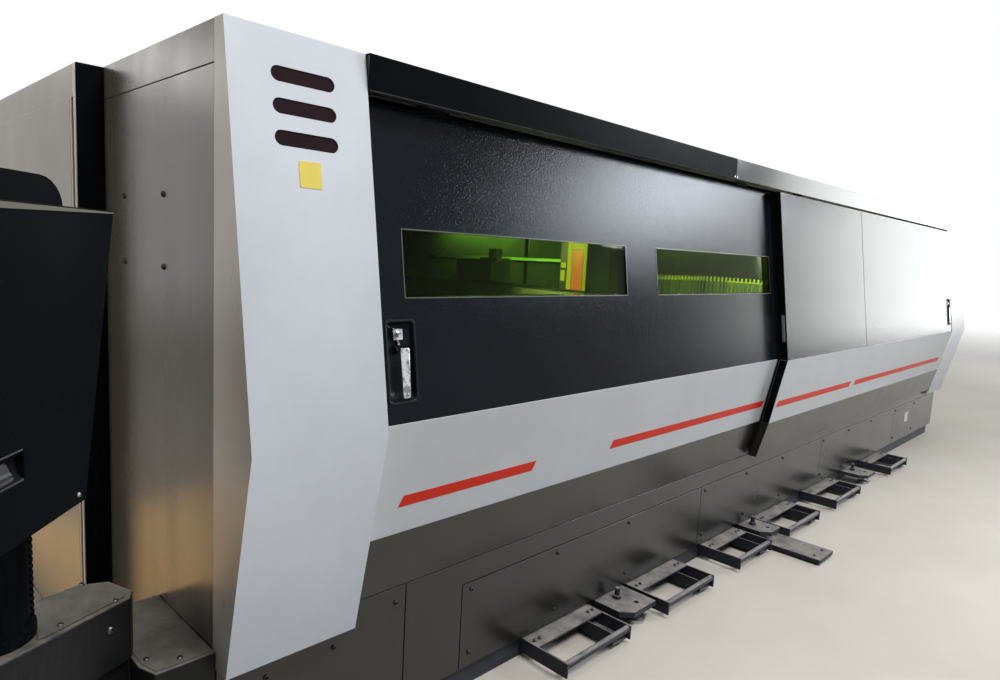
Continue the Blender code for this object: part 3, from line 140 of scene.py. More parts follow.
def coat_grain_group():
    """Sprayed powder coat: fine orange peel over a slow waviness, and a slight mottle."""
    inputs = (
        ("Vector", "NodeSocketVector", None),
        ("Grain", "NodeSocketFloat", 260.0),
        ("Wave", "NodeSocketFloat", 0.3),
    )
    outputs = (("Height", "NodeSocketFloat"), ("Mottle", "NodeSocketFloat"))
    group, source, sink = new_group("coat_grain", inputs, outputs)
    fine = noise(group, source.outputs["Vector"], source.outputs["Grain"], 2.0, 0.55)
    slow = noise(group, source.outputs["Vector"], 14.0, 1.0)
    waves = sums(group, "MULTIPLY", slow, source.outputs["Wave"])
    group.links.new(sums(group, "ADD", fine, waves), sink.inputs["Height"])
    group.links.new(noise(group, source.outputs["Vector"], 3.5, 4.0, 0.6), sink.inputs["Mottle"])
    return group


def dust_group():
    """Dust that settles on faces that look up, with wiped patches."""
    inputs = (("Vector", "NodeSocketVector", None), ("Amount", "NodeSocketFloat", 0.5))
    group, source, sink = new_group("settled_dust", inputs, (("Mask", "NodeSocketFloat"),))
    geometry = group.nodes.new("ShaderNodeNewGeometry")
    split = group.nodes.new("ShaderNodeSeparateXYZ")
    group.links.new(geometry.outputs["Normal"], split.inputs[0])
    upward = ramp(group, split.outputs["Z"], 0.55, 0.95)
    patches = ramp(group, noise(group, source.outputs["Vector"], 11.0, 6.0, 0.65), 0.32, 0.62, 0.25, 1.0)
    mask = sums(group, "MULTIPLY", sums(group, "MULTIPLY", upward, patches), source.outputs["Amount"])
    group.links.new(mask, sink.inputs["Mask"])
    return group


def scuff_group():
    """Fine pale wiping lines that run down a face, in loose patches."""
    inputs = (("Vector", "NodeSocketVector", None), ("Amount", "NodeSocketFloat", 0.5))
    group, source, sink = new_group("rub_marks", inputs, (("Mask", "NodeSocketFloat"),))
    streaks = noise(group, stretched(group, source.outputs["Vector"], (60.0, 60.0, 7.0)), 1.0, 6.0, 0.75)
    where = noise(group, source.outputs["Vector"], 1.7, 3.0)
    marks = sums(group, "MULTIPLY", ramp(group, streaks, 0.50, 0.80), ramp(group, where, 0.50, 0.72))
    group.links.new(sums(group, "MULTIPLY", marks, source.outputs["Amount"]), sink.inputs["Mask"])
    return group


def brushed_group():
    """Fine drawn lines along one axis of a metal face."""
    inputs = (("Vector", "NodeSocketVector", None),)
    group, source, sink = new_group("drawn_lines", inputs, (("Lines", "NodeSocketFloat"),))
    fine = noise(group, stretched(group, source.outputs["Vector"], (4.0, 90.0, 90.0)), 6.0, 3.0, 0.6)
    group.links.new(fine, sink.inputs["Lines"])
    return group


GRAIN = coat_grain_group()
DUST = dust_group()
SCUFFS = scuff_group()
LINES = brushed_group()


# Materials

DUST_COLOUR = (0.30, 0.28, 0.25)
THIN_PANE_IOR = 1.12


def new_material(name, colour, roughness, metallic=0.0, specular=0.5):
    material = bpy.data.materials.new(name)
    material.use_nodes = True
    tree = material.node_tree
    shader = tree.nodes["Principled BSDF"]
    shader.inputs["Base Color"].default_value = (*colour, 1.0)
    shader.inputs["Roughness"].default_value = roughness
    shader.inputs["Metallic"].default_value = metallic
    shader.inputs["Specular IOR Level"].default_value = specular
    place = tree.nodes.new("ShaderNodeTexCoord").outputs["Object"]
    return material, tree, shader, place


def use_group(tree, group, vector, **values):
    """Place a shared group in a material, with values of its own."""
    node = tree.nodes.new("ShaderNodeGroup")
    node.node_tree = group
    tree.links.new(vector, node.inputs["Vector"])
    for label, value in values.items():
        node.inputs[label].default_value = value
    return node


def blend_colours(tree, mask, first, second):
    node = tree.nodes.new("ShaderNodeMix")
    node.data_type = "RGBA"
    tree.links.new(mask, node.inputs[0])
    for index, value in ((6, first), (7, second)):
        if isinstance(value, tuple):
            node.inputs[index].default_value = (*value, 1.0)
        else:
            tree.links.new(value, node.inputs[index])
    return node.outputs[2]


def scaled(colour, share):
    """A colour made darker or paler by one factor."""
    return tuple(channel * share for channel in colour)


def add_bump(tree, shader, height, strength, distance):
    bump = tree.nodes.new("ShaderNodeBump")
    bump.inputs["Strength"].default_value = strength
    bump.inputs["Distance"].default_value = distance
    tree.links.new(height, bump.inputs["Height"])
    tree.links.new(bump.outputs["Normal"], shader.inputs["Normal"])


def powder_coat(name, colour, roughness, grain=260.0, depth=0.3, dust=0.0, scuffs=0.0, specular=0.5,
                streaks=0.0, relief=0.0006, wave=0.3):
    """Sprayed paint on sheet steel, with its peel, mottle, settled dust and rub marks; streaks adds pale
    upright streaks that are painted reflections.
    """
    material, tree, shader, place = new_material(name, colour, roughness, 0.0, specular)
    coat = use_group(tree, GRAIN, place, Grain=grain, Wave=wave)
    pale = tuple(min(1.0, channel * 1.12 + 0.004) for channel in colour)
    shade = blend_colours(tree, coat.outputs["Mottle"], scaled(colour, 0.9), pale)
    rough = ramp(tree, coat.outputs["Mottle"], 0.3, 0.7, roughness * 0.88, min(1.0, roughness * 1.12))
    # Pale upright streaks painted on as blurred reflections, with the roughness varied along them
    if streaks:
        runs = noise(tree, stretched(tree, place, (3.2, 3.2, 0.12)), 1.6, 1.0, 0.5)
        painted_reflection_mask = ramp(tree, runs, 0.30, 0.75, 0.0, streaks)
        shade = blend_colours(tree, painted_reflection_mask, shade, scaled(colour, 1.6))
        rough = sums(tree, "MULTIPLY", rough, ramp(tree, runs, 0.3, 0.7, 1.25, 0.75))
    if scuffs:
        marks = use_group(tree, SCUFFS, place, Amount=scuffs).outputs["Mask"]
        worn = tuple(channel * 0.6 + 0.22 for channel in colour)
        shade = blend_colours(tree, marks, shade, worn)
    if dust:
        settled = use_group(tree, DUST, place, Amount=dust).outputs["Mask"]
        shade = blend_colours(tree, settled, shade, DUST_COLOUR)
        rough = sums(tree, "MAXIMUM", rough, sums(tree, "MULTIPLY", settled, 0.75))
    tree.links.new(shade, shader.inputs["Base Color"])
    tree.links.new(rough, shader.inputs["Roughness"])
    add_bump(tree, shader, coat.outputs["Height"], depth, relief)
    return material


def bare_metal(name, colour, roughness, lines=0.2, dark_reflections=0.0):
    """Brushed or plated metal; it can be darkened in small soft patches that are painted dark reflections."""
    material, tree, shader, place = new_material(name, colour, roughness, 1.0)
    drawn = use_group(tree, LINES, place).outputs["Lines"]
    tree.links.new(ramp(tree, drawn, 0.2, 0.8, roughness * 0.7, roughness * 1.4), shader.inputs["Roughness"])
    shade = blend_colours(tree, drawn, scaled(colour, 0.82), colour)
    # Small soft dark patches painted on as reflections in the metal
    if dark_reflections:
        patches = ramp(tree, noise(tree, place, 48.0, 3.0), 0.48, 0.58, 0.0, dark_reflections)
        shade = blend_colours(tree, patches, shade, scaled(colour, 0.12))
    tree.links.new(shade, shader.inputs["Base Color"])
    add_bump(tree, shader, drawn, lines, 0.0002)
    return material


def moulded(name, colour, roughness, specular=0.5):
    """Plastic with a fine moulded surface."""
    material, tree, shader, place = new_material(name, colour, roughness, 0.0, specular)
    fine = noise(tree, place, 900.0, 2.0)
    slow = noise(tree, place, 25.0, 3.0)
    tree.links.new(ramp(tree, slow, 0.3, 0.7, roughness * 0.85, roughness * 1.15), shader.inputs["Roughness"])
    tree.links.new(blend_colours(tree, slow, scaled(colour, 0.9), colour), shader.inputs["Base Color"])
    add_bump(tree, shader, fine, 0.08, 0.0002)
    return material


def tinted_glass(name, colour, roughness):
    """Thin coloured pane with a faint greasy film; a thin pane bends the view less than a thick one."""
    material, tree, shader, place = new_material(name, colour, roughness)
    shader.inputs["Transmission Weight"].default_value = 1.0
    shader.inputs["IOR"].default_value = THIN_PANE_IOR
    film = noise(tree, place, 4.0, 5.0, 0.6)
    tree.links.new(ramp(tree, film, 0.35, 0.75, roughness, roughness * 2.5), shader.inputs["Roughness"])
    return material


FINISH = {
    "silver": powder_coat("silver_grey_paint", (0.64, 0.67, 0.71), 0.38, 420.0, 0.12, scuffs=0.10,
                          specular=0.35),
    "band": powder_coat("silver_band_paint", (0.585, 0.60, 0.615), 0.38, 420.0, 0.10, scuffs=0.08,
                        specular=0.3),
    "door": powder_coat("blue_black_paint", (0.0042, 0.0066, 0.0096), 0.09, 190.0, 1.0, specular=0.07,
                        relief=0.0008, wave=0.02),
    "black": powder_coat("black_textured_paint", (0.0032, 0.0038, 0.0050), 0.30, 420.0, 0.30, scuffs=0.05,
                         specular=0.006),
    "header": powder_coat("black_header_paint", (0.0040, 0.0047, 0.0060), 0.14, 260.0, 0.12, specular=0.2),
    "charcoal": powder_coat("charcoal_paint", (0.0070, 0.0066, 0.0056), 0.25, 420.0, 0.25, scuffs=0.08,
                            specular=0.65),
    # Warm grey side paint; its pale upright streaks are painted reflections
    "umber": powder_coat("warm_grey_paint", (0.074, 0.067, 0.055), 0.23, 330.0, 0.25, scuffs=0.04,
                         specular=0.5, streaks=0.06),
    "roof": powder_coat("roof_paint", (0.095, 0.090, 0.078), 0.62, 330.0, 0.25, dust=0.2, specular=0.15),
    # Darker, warmer grey for the left pillar's left faces: painted shade and a painted warm reflection on the
    # silver
    "painted_reflection_side": powder_coat("warm_reflection_side_paint", (0.52, 0.505, 0.47), 0.30, 420.0, 0.10, specular=0.35),
    "cover": powder_coat("pale_warm_grey_paint", (0.168, 0.153, 0.124), 0.34, 330.0, 0.2, scuffs=0.04,
                         specular=0.45),
    # Pale paint for the cabinet's rim and edge trim: a painted highlight along the corner
    "rim": powder_coat("painted_highlight_edge_paint", (0.58, 0.555, 0.50), 0.32, 330.0, 0.1, specular=0.4),
    # Pale dusty strip on the console's top edge: dust and a painted highlight
    "dust_and_highlight_edge": powder_coat("dusty_highlight_edge_paint", (0.115, 0.105, 0.088), 0.4, 330.0, 0.3, dust=0.5,
                            specular=0.3),
    "beam": powder_coat("blue_grey_beam_paint", (0.024, 0.026, 0.038), 0.5, 200.0, 0.3, dust=0.8, scuffs=0.3,
                        specular=0.25),
    "arm": powder_coat("dusty_black_paint", (0.0055, 0.0062, 0.0070), 0.36, 420.0, 0.4, dust=0.6, scuffs=0.1,
                       specular=0.2),
    "lid": powder_coat("dusty_lid_paint", (0.042, 0.040, 0.032), 0.42, 420.0, 0.4, dust=0.35, specular=0.3),
    "tread": powder_coat("worn_tread_paint", (0.066, 0.057, 0.048), 0.5, 90.0, 0.9, dust=0.4, scuffs=0.2,
                         specular=0.2),
    "bed": powder_coat("machine_grey_paint", (0.30, 0.32, 0.31), 0.5, 200.0, 0.2, dust=0.3),
    "orange": powder_coat("orange_red_paint", (0.72, 0.115, 0.03), 0.4, 300.0, 0.15),
    "steel": bare_metal("bright_steel", (0.50, 0.50, 0.52), 0.34),
    # The levers' chrome has dark patches painted on as reflections
    "chrome": bare_metal("polished_chrome", (0.62, 0.63, 0.66), 0.12, 0.05, dark_reflections=0.7),
    "screw": bare_metal("dark_screw_steel", (0.10, 0.10, 0.11), 0.38, 0.1),
    "black_screw": moulded("blackened_screw_steel", (0.010, 0.010, 0.011), 0.40, 0.3),
    "zinc": bare_metal("zinc_plated_steel", (0.42, 0.42, 0.41), 0.36, 0.1),
    "plastic": moulded("black_plastic", (0.009, 0.009, 0.010), 0.30, 0.3),
    "dish": moulded("black_dish_plastic", (0.0062, 0.0086, 0.0115), 0.34, 0.12),
    "gloss": moulded("gloss_black_plastic", (0.012, 0.012, 0.014), 0.09, 0.9),
    "rubber": moulded("black_rubber", (0.008, 0.008, 0.009), 0.62, 0.12),
    "lens": moulded("smoked_plum_lens", (0.020, 0.010, 0.013), 0.34, 0.05),
    "red": moulded("stripe_red", (0.74, 0.040, 0.020), 0.38, 0.12),
    "yellow": moulded("plate_yellow", (0.82, 0.66, 0.12), 0.4, 0.35),
    "strip": moulded("edge_marking_yellow", (0.80, 0.74, 0.03), 0.4, 0.3),
    "hook": moulded("pale_yellow_hook", (0.85, 0.80, 0.25), 0.35, 0.4),
    "drape": moulded("grey_curtain_strip", (0.13, 0.15, 0.11), 0.5, 0.3),
    "trim": moulded("window_seal", (0.060, 0.072, 0.048), 0.4, 0.3),
    "label": moulded("plain_white_plate", (0.70, 0.72, 0.72), 0.4, 0.35),
    "glass": tinted_glass("green_laser_glass", (0.50, 0.80, 0.12), 0.02),
    "screen": moulded("screen_glass", (0.006, 0.008, 0.010), 0.06),
    "green": moulded("start_green", (0.02, 0.32, 0.05), 0.35),
    "stop": moulded("stop_red", (0.55, 0.012, 0.008), 0.3),
}


# Mesh helpers

FACES = {}

# Directions in which each side of the machine is looked at
AIMS = {
    "front": Vector((0, 1, 0)),
    "left": Vector((1, 0, 0)),
    "top": Vector((0, 0, -1)),
    "rear": Vector((0, -1, 0)),
    "right": Vector((-1, 0, 0)),
}

# Start of a ray: well outside the machine, or just in front of one piece
FAR_OFF = 20.0
CLOSE_BY = 0.5

# How near points are joined, and how many degrees apart faces still count as one flat
MERGE = 0.00002
SPIN_MERGE = 0.000001
FLAT_WITHIN = 0.6


def face_tree(node):
    """A node's faces, for finding where a ray meets it."""
    if node not in FACES:
        bm = bmesh.new()
        bm.from_mesh(frame["nodes"][node].data)
        FACES[node] = BVHTree.FromBMesh(bm)
        bm.free()
    return FACES[node]


def meet(node, side, point):
    """Where a level ray from one side of the machine meets a node, and the face's direction there."""
    aim = AIMS[side]
    start = Vector(point) - aim * (Vector(point).dot(aim) + FAR_OFF)
    place, normal, _, _ = face_tree(node).ray_cast(start, aim)
    if place is None:
        raise ValueError("no face of %s at %s" % (node, tuple(point)))
    return place, normal if normal.dot(aim) < 0 else -normal


def first_hit(body, start, aim):
    """The nearest face of a body's nodes that a ray meets, and its direction towards the ray's start."""
    best = None
    for node, owner in BODY_OF.items():
        if owner != body:
            continue
        place, normal, _, distance = face_tree(node).ray_cast(start, aim)
        if place is not None and (best is None or distance < best[2]):
            best = (place, normal if normal.dot(aim) < 0 else -normal, distance)
    if best is None:
        raise ValueError("no face of %s ahead of %s" % (body, tuple(start)))
    return best[0], best[1]


def frame_spots(side, points, reach=FAR_OFF):
    """Places on the outside of the frame, seen from one side of the machine, for fasteners."""
    aim = AIMS[side]
    return [first_hit("frame", at(*point) - aim * (at(*point).dot(aim) + reach), aim) for point in points]


def front_line(body, along, front, heights):
    """How a leaning face runs: its y in the row frame at any height, from where it stands at two."""
    spots = []
    for height in heights:
        place, _ = first_hit(body, Vector((along, front - CLOSE_BY, height)), AIMS["front"])
        spots.append((height, place.y))
    slope = (spots[1][1] - spots[0][1]) / (spots[1][0] - spots[0][0])
    return lambda height: spots[0][1] + slope * (height - spots[0][0])


def finish_piece(item, node, finish, replaced=()):
    """Give a piece its finish and the body of the node that it belongs to, and hide the nodes that it
    replaces.
    """
    item.data.materials.clear()
    item.data.materials.append(FINISH[finish])
    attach(item, BODY_OF[node])
    if replaced:
        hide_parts(*replaced)
    return item


def link_object(name, data):
    item = bpy.data.objects.new(name, data)
    bpy.context.scene.collection.objects.link(item)
    return item


def link_mesh(name, bm):
    """Turn a finished bmesh, its faces pointing out, into an object."""
    bmesh.ops.recalc_face_normals(bm, faces=bm.faces)
    mesh = bpy.data.meshes.new(name)
    bm.to_mesh(mesh)
    bm.free()
    return link_object(name, mesh)


def bridge(bm, rings):
    """Join rings of points into one closed skin, with a flat face at each end."""
    loops = [[bm.verts.new(corner) for corner in ring] for ring in rings]
    for low, high in zip(loops, loops[1:]):
        for index in range(len(low)):
            other = (index + 1) % len(low)
            bm.faces.new((low[index], low[other], high[other], high[index]))
    bm.faces.new(loops[0])
    bm.faces.new(list(reversed(loops[-1])))


def turned(profile, segments):
    """A closed profile, as (radius, height), spun round the upright axis."""
    bm = bmesh.new()
    verts = [bm.verts.new((radius, 0.0, height)) for radius, height in profile]
    edges = [bm.edges.new(pair) for pair in zip(verts, verts[1:])]
    bmesh.ops.spin(bm, geom=verts + edges, cent=(0, 0, 0), axis=(0, 0, 1), angle=math.tau, steps=segments)
    bmesh.ops.remove_doubles(bm, verts=bm.verts, dist=SPIN_MERGE)
    return bm


def baked(item):
    """Turn an object's modifiers into its plain mesh."""
    bpy.context.view_layer.update()
    evaluated = item.evaluated_get(bpy.context.evaluated_depsgraph_get())
    mesh = bpy.data.meshes.new_from_object(evaluated)
    item.modifiers.clear()
    item.data = mesh
    return item


def softened(item, width, segments=3, angle=32.0):
    """Rounded folds and cut edges, with shading that keeps the flats flat."""
    bevel = item.modifiers.new("edge", "BEVEL")
    bevel.width = width
    bevel.segments = segments
    bevel.limit_method = "ANGLE"
    bevel.angle_limit = math.radians(angle)
    bevel.use_clamp_overlap = True
    item.data.shade_smooth()
    normals = item.modifiers.new("flats", "WEIGHTED_NORMAL")
    normals.keep_sharp = True
    return baked(item)


def node_copy(node, name):
    """The node's own solid as one clean mesh of flat faces."""
    bm = bmesh.new()
    bm.from_mesh(frame["nodes"][node].data)
    bmesh.ops.remove_doubles(bm, verts=bm.verts, dist=MERGE)
    bmesh.ops.dissolve_limit(bm, angle_limit=math.radians(FLAT_WITHIN), verts=bm.verts, edges=bm.edges)
    return link_mesh(name, bm)


def corners(left, right, foot, top, margin=0.0):
    """The corners of a rectangle with a margin round it, as (x, z)."""
    left -= margin
    right += margin
    foot -= margin
    top += margin
    return [(left, foot), (right, foot), (right, top), (left, top)]


def rectangle(*sizes):
    """Such corners in the machine's measures."""
    return [(x, 0.0, z) for x, z in corners(*sizes)]


def rounded_outline(left, right, foot, top, radius):
    """A rectangle with round corners, as (x, z), anticlockwise from its lower right corner."""
    steps = 6
    points = []
    for x, z, start in ((right, foot, -90), (right, top, 0), (left, top, 90), (left, foot, 180)):
        centre_x = x - math.copysign(radius, x - (left + right) / 2)
        centre_z = z - math.copysign(radius, z - (foot + top) / 2)
        for step in range(steps + 1):
            turn = math.radians(start + 90.0 * step / steps)
            points.append((centre_x + radius * math.cos(turn), centre_z + radius * math.sin(turn)))
    return points


def thin_plate(name, spots, inner, lift):
    """A plate on a face, from a hair above it up to its lift; each spot is a place and a direction."""
    normal = spots[0][1]
    bm = bmesh.new()
    front = [bm.verts.new(place + normal * lift) for place, _ in spots]
    back = [bm.verts.new(place + normal * HAIR) for place, _ in spots]
    inner_front = [bm.verts.new(place + normal * lift) for place, _ in inner]
    inner_back = [bm.verts.new(place + normal * HAIR) for place, _ in inner]
    for index in range(len(front)):
        other = (index + 1) % len(front)
        bm.faces.new((front[index], front[other], back[other], back[index]))
        if inner:
            bm.faces.new((inner_front[index], inner_back[index], inner_back[other], inner_front[other]))
            bm.faces.new((front[index], inner_front[index], inner_front[other], front[other]))
            bm.faces.new((back[index], back[other], inner_back[other], inner_back[index]))
    if not inner:
        bm.faces.new(front)
        bm.faces.new(list(reversed(back)))
    return link_mesh(name, bm)


def plate(name, node, side, outline, finish, lift=PLATE_LIFT, opening=(), rounding=0.0):
    """A thin plate laid on a node's face; its outlines are given in the machine's measures."""
    spots = [meet(node, side, at(*point)) for point in outline]
    inner = [meet(node, side, at(*point)) for point in opening]
    item = thin_plate(name, spots, inner, lift)
    if rounding:
        item = softened(item, rounding, 2)
    finish_piece(item, node, finish)


def box_piece(name, node, low, high, rounding, finish):
    """A small folded or cut block with rounded edges; corners in the machine's measures."""
    low = at(*low)
    high = at(*high)
    bm = bmesh.new()
    bmesh.ops.create_cube(bm, size=1.0)
    bmesh.ops.scale(bm, vec=high - low, verts=bm.verts)
    bmesh.ops.translate(bm, vec=(low + high) / 2, verts=bm.verts)
    return finish_piece(softened(link_mesh(name, bm), rounding, 2), node, finish)


# Pieces that repeat, set out by Geometry Nodes

# Largest swing of a hanging strip about each axis, in radians, and the seed of the draw
SWING = (0.02, 0.03, 0.10)
SWING_SEED = 7


def set_out_tree(name, inputs):
    """A tree with named inputs that puts one instance on each point, makes it real and paints it."""
    tree = bpy.data.node_groups.new(name, "GeometryNodeTree")
    for label, kind in (("Geometry", "NodeSocketGeometry"), *inputs, ("Finish", "NodeSocketMaterial")):
        tree.interface.new_socket(label, in_out="INPUT", socket_type=kind)
    tree.interface.new_socket("Geometry", in_out="OUTPUT", socket_type="NodeSocketGeometry")
    source = tree.nodes.new("NodeGroupInput")
    sink = tree.nodes.new("NodeGroupOutput")
    spread = tree.nodes.new("GeometryNodeInstanceOnPoints")
    joined = tree.nodes.new("GeometryNodeRealizeInstances")
    painted = tree.nodes.new("GeometryNodeSetMaterial")
    link = tree.links.new
    link(spread.outputs["Instances"], joined.inputs["Geometry"])
    link(joined.outputs["Geometry"], painted.inputs["Geometry"])
    link(source.outputs["Finish"], painted.inputs["Material"])
    link(painted.outputs["Geometry"], sink.inputs["Geometry"])
    return tree, source, spread


def fastener_tree():
    """One head on each point of a mesh, turned to the point's own facing direction."""
    inputs = (("Head", "NodeSocketObject"), ("Width", "NodeSocketFloat"))
    tree, source, spread = set_out_tree("fasteners", inputs)
    head = tree.nodes.new("GeometryNodeObjectInfo")
    facing = tree.nodes.new("GeometryNodeInputNamedAttribute")
    facing.data_type = "FLOAT_VECTOR"
    facing.inputs["Name"].default_value = "facing"
    turn = tree.nodes.new("FunctionNodeAlignRotationToVector")
    turn.axis = "Z"
    link = tree.links.new
    link(source.outputs["Geometry"], spread.inputs["Points"])
    link(source.outputs["Head"], head.inputs["Object"])
    link(head.outputs["Geometry"], spread.inputs["Instance"])
    link(facing.outputs["Attribute"], turn.inputs["Vector"])
    link(turn.outputs["Rotation"], spread.inputs["Rotation"])
    link(source.outputs["Width"], spread.inputs["Scale"])
    return tree


def hanging_tree():
    """A row of hanging strips between two places, each swung a little on its own."""
    vector = "NodeSocketVector"
    inputs = (("Count", "NodeSocketInt"), ("Start", vector), ("End", vector), ("Strip", vector))
    tree, source, spread = set_out_tree("hanging_strips", inputs)
    line = tree.nodes.new("GeometryNodeMeshLine")
    line.mode = "END_POINTS"
    block = tree.nodes.new("GeometryNodeMeshCube")
    swing = tree.nodes.new("FunctionNodeRandomValue")
    swing.data_type = "FLOAT_VECTOR"
    swing.inputs["Min"].default_value = [-angle for angle in SWING]
    swing.inputs["Max"].default_value = SWING
    swing.inputs["Seed"].default_value = SWING_SEED
    link = tree.links.new
    link(source.outputs["Count"], line.inputs["Count"])
    link(source.outputs["Start"], line.inputs["Start Location"])
    link(source.outputs["End"], line.inputs["Offset"])
    link(source.outputs["Strip"], block.inputs["Size"])
    link(line.outputs["Mesh"], spread.inputs["Points"])
    link(block.outputs["Mesh"], spread.inputs["Instance"])
    link(swing.outputs[0], spread.inputs["Rotation"])
    return tree


def socket_by_name(tree, name):
    """The identifier of a tree's input, by which a modifier knows it."""
    for entry in tree.interface.items_tree:
        if entry.in_out == "INPUT" and entry.name == name:
            return entry.identifier
    raise KeyError(name)


def cap_screw():
    """Button head with a recess, one unit across, standing on the XY plane."""
    profile = [(0.0, 0.16), (0.20, 0.16), (0.22, 0.34), (0.34, 0.33), (0.46, 0.20), (0.50, 0.0), (0.0, 0.0)]
    return link_mesh("cap_screw_pattern", turned(profile, 12))


def hex_bolt():
    """Hexagon head on a washer, one unit across."""
    profile = [(0.0, 0.42), (0.30, 0.42), (0.36, 0.36), (0.36, 0.09), (0.50, 0.09), (0.50, 0.0), (0.0, 0.0)]
    return link_mesh("hex_bolt_pattern", turned(profile, 6))


FASTENERS = fastener_tree()
HANGING = hanging_tree()
HEADS = {"screw": cap_screw(), "bolt": hex_bolt()}


def set_out(name, mesh, tree, values, node, finish):
    """Run a tree on a mesh of points, and keep what it makes as one plain mesh for one body."""
    item = link_object(name, mesh)
    step = item.modifiers.new("set_out", "NODES")
    step.node_group = tree
    for label, value in (*values, ("Finish", FINISH[finish])):
        step[socket_by_name(tree, label)] = value
    finish_piece(baked(item), node, finish)


def fasten(name, node, spots, head, width, finish, sunk=0.0):
    """One mesh of fasteners for one body; each spot is a place and a facing direction."""
    mesh = bpy.data.meshes.new(name)
    mesh.from_pydata([place - normal * sunk for place, normal in spots], [], [])
    facing = mesh.attributes.new("facing", "FLOAT_VECTOR", "POINT")
    for index, (_, normal) in enumerate(spots):
        facing.data[index].vector = normal
    set_out(name, mesh, FASTENERS, (("Head", HEADS[head]), ("Width", width)), node, finish)


def hang(name, node, count, start, end, strip, finish):
    """A row of hanging strips of one size; start and end in the machine's measures."""
    values = (("Count", count), ("Start", tuple(at(*start))), ("End", tuple(at(*end))), ("Strip", strip))
    set_out(name, bpy.data.meshes.new(name), HANGING, values, node, finish)


# Nodes that are dressed or painted as they are

# The console's column and how far the console is turned about it
POST = Vector((-0.475, 0.085, 0.0))
CONSOLE_TURN = Matrix.Rotation(math.radians(-41.8), 3, "Z")

# What counts as the console's hood, measured from its column, and how much longer it is drawn
HOOD_FOOT = 1.6585
HOOD_LEFT = -0.15
HOOD_RIGHT = 0.31
HOOD_FRONT = -0.36
HOOD_LONGER = 0.045

# Radius of the bare column, and the share that is kept of what stands further out
COLUMN_RADIUS = 0.081
HOSE_SHARE = 0.42

# How far a face has to look along an axis to count as turned that way
SQUARE_ON = 0.9


def longer_hood(place):
    """The console's hood runs a little further back than its solid."""
    local = CONSOLE_TURN.inverted() @ (place - at(*POST))
    if local.z > HOOD_FOOT and HOOD_LEFT < local.x < HOOD_RIGHT and local.y > HOOD_FRONT:
        local.y += HOOD_LONGER
    return at(*POST) + CONSOLE_TURN @ local


def slim_hose(place):
    """The column's hose and foot flange sit closer to the column than their solid."""
    local = place - at(*POST)
    level = Vector((local.x, local.y, 0.0))
    if level.length > COLUMN_RADIUS:
        level *= (COLUMN_RADIUS + HOSE_SHARE * (level.length - COLUMN_RADIUS)) / level.length
    return at(*POST) + level + Vector((0.0, 0.0, local.z))


RESHAPED = {"console_housing": longer_hood, "console_post": slim_hose}

# A node whose faces towards one side have a finish of their own; for some of them that finish is painted
# shade or a painted reflection, as noted
OTHER_SIDES = {
    # The cabinet is painted black as painted shade on its front face; its left face keeps its own pale paint
    "side_cabinet": ((-1, 0, 0), "cover"),
    # The right door's left end faces, of band and panel, painted black as painted shade
    "door_2_band": ((-1, 0, 0), "black"),
    "door_2_panel": ((-1, 0, 0), "black"),
    "header_middle": ((0, 0, 1), "black"),
    "header_right": ((0, 0, 1), "black"),
    # The left pillar's left faces: painted shade and a painted warm reflection
    "left_pillar": ((-1, 0, 0), "painted_reflection_side"),
    "roof_left": ((-1, 0, 0), "umber"),
    "left_side_panel": ((-1, 0, 0), "umber"),
}

# Nodes drawn again with rounded edges: how round, and the finish
DRESSED = (
    ("left_pillar", 0.0030, "silver"),
    ("right_pillar", 0.0030, "silver"),
    ("status_lamp_lens", 0.0010, "lens"),
    ("left_side_panel", 0.0030, "umber"),
    ("header_left", 0.0014, "black"),
    ("header_middle", 0.0014, "header"),
    ("header_right", 0.0014, "header"),
    ("roof_left", 0.0014, "roof"),
    ("roof_middle", 0.0014, "roof"),
    ("roof_right", 0.0014, "roof"),
    # Black here is painted shade on the cabinet's front face
    ("side_cabinet", 0.0040, "black"),
    ("rear_panel_left", 0.0014, "charcoal"),
    ("rear_panel_right", 0.0014, "charcoal"),
    ("right_end_panel", 0.0040, "charcoal"),
    ("skirt_corner", 0.0014, "charcoal"),
    ("skirt_rail", 0.0014, "charcoal"),
    ("skirt_cover_1", 0.0014, "charcoal"),
    ("skirt_cover_2", 0.0014, "charcoal"),
    ("skirt_cover_3", 0.0014, "charcoal"),
    ("skirt_cover_4", 0.0014, "charcoal"),
    ("base_beam_front", 0.0020, "beam"),
    ("base_beam_rear", 0.0060, "beam"),
    ("door_1_panel", 0.0020, "door"),
    ("door_1_band", 0.0020, "band"),
    ("door_1_foot", 0.0020, "charcoal"),
    ("door_2_panel", 0.0020, "door"),
    ("door_2_band", 0.0020, "band"),
    ("door_2_foot", 0.0020, "charcoal"),
    ("door_1_window_left", 0.0008, "glass"),
    ("door_1_window_right", 0.0008, "glass"),
    ("console_platform", 0.0040, "arm"),
    ("console_arm", 0.0060, "arm"),
    ("console_post", 0.0008, "black"),
    ("console_yoke", 0.0050, "black"),
    ("console_housing", 0.0040, "black"),
    ("console_screen", 0.0010, "screen"),
    ("gantry_drive_cover", 0.0050, "beam"),
    ("gantry_beam", 0.0040, "bed"),
    ("carriage", 0.0050, "bed"),
)

# Nodes whose shape is right as it is, and the finish
REPAINTED = (
    ("door_track", "steel"),
    ("base_cross_beam_left", "beam"),
    ("base_cross_beam_right", "beam"),
    ("bed_girder_front", "bed"),
    ("bed_girder_rear", "bed"),
    ("scrap_trough", "steel"),
    ("slot_curtain", "yellow"),
    ("cutting_pallet", "steel"),
    ("cutting_head", "silver"),
    ("levelling_jack_1", "steel"),
    ("levelling_jack_2", "steel"),
    ("levelling_jack_3", "steel"),
    ("stop_button", "stop"),
    ("start_button", "green"),
)


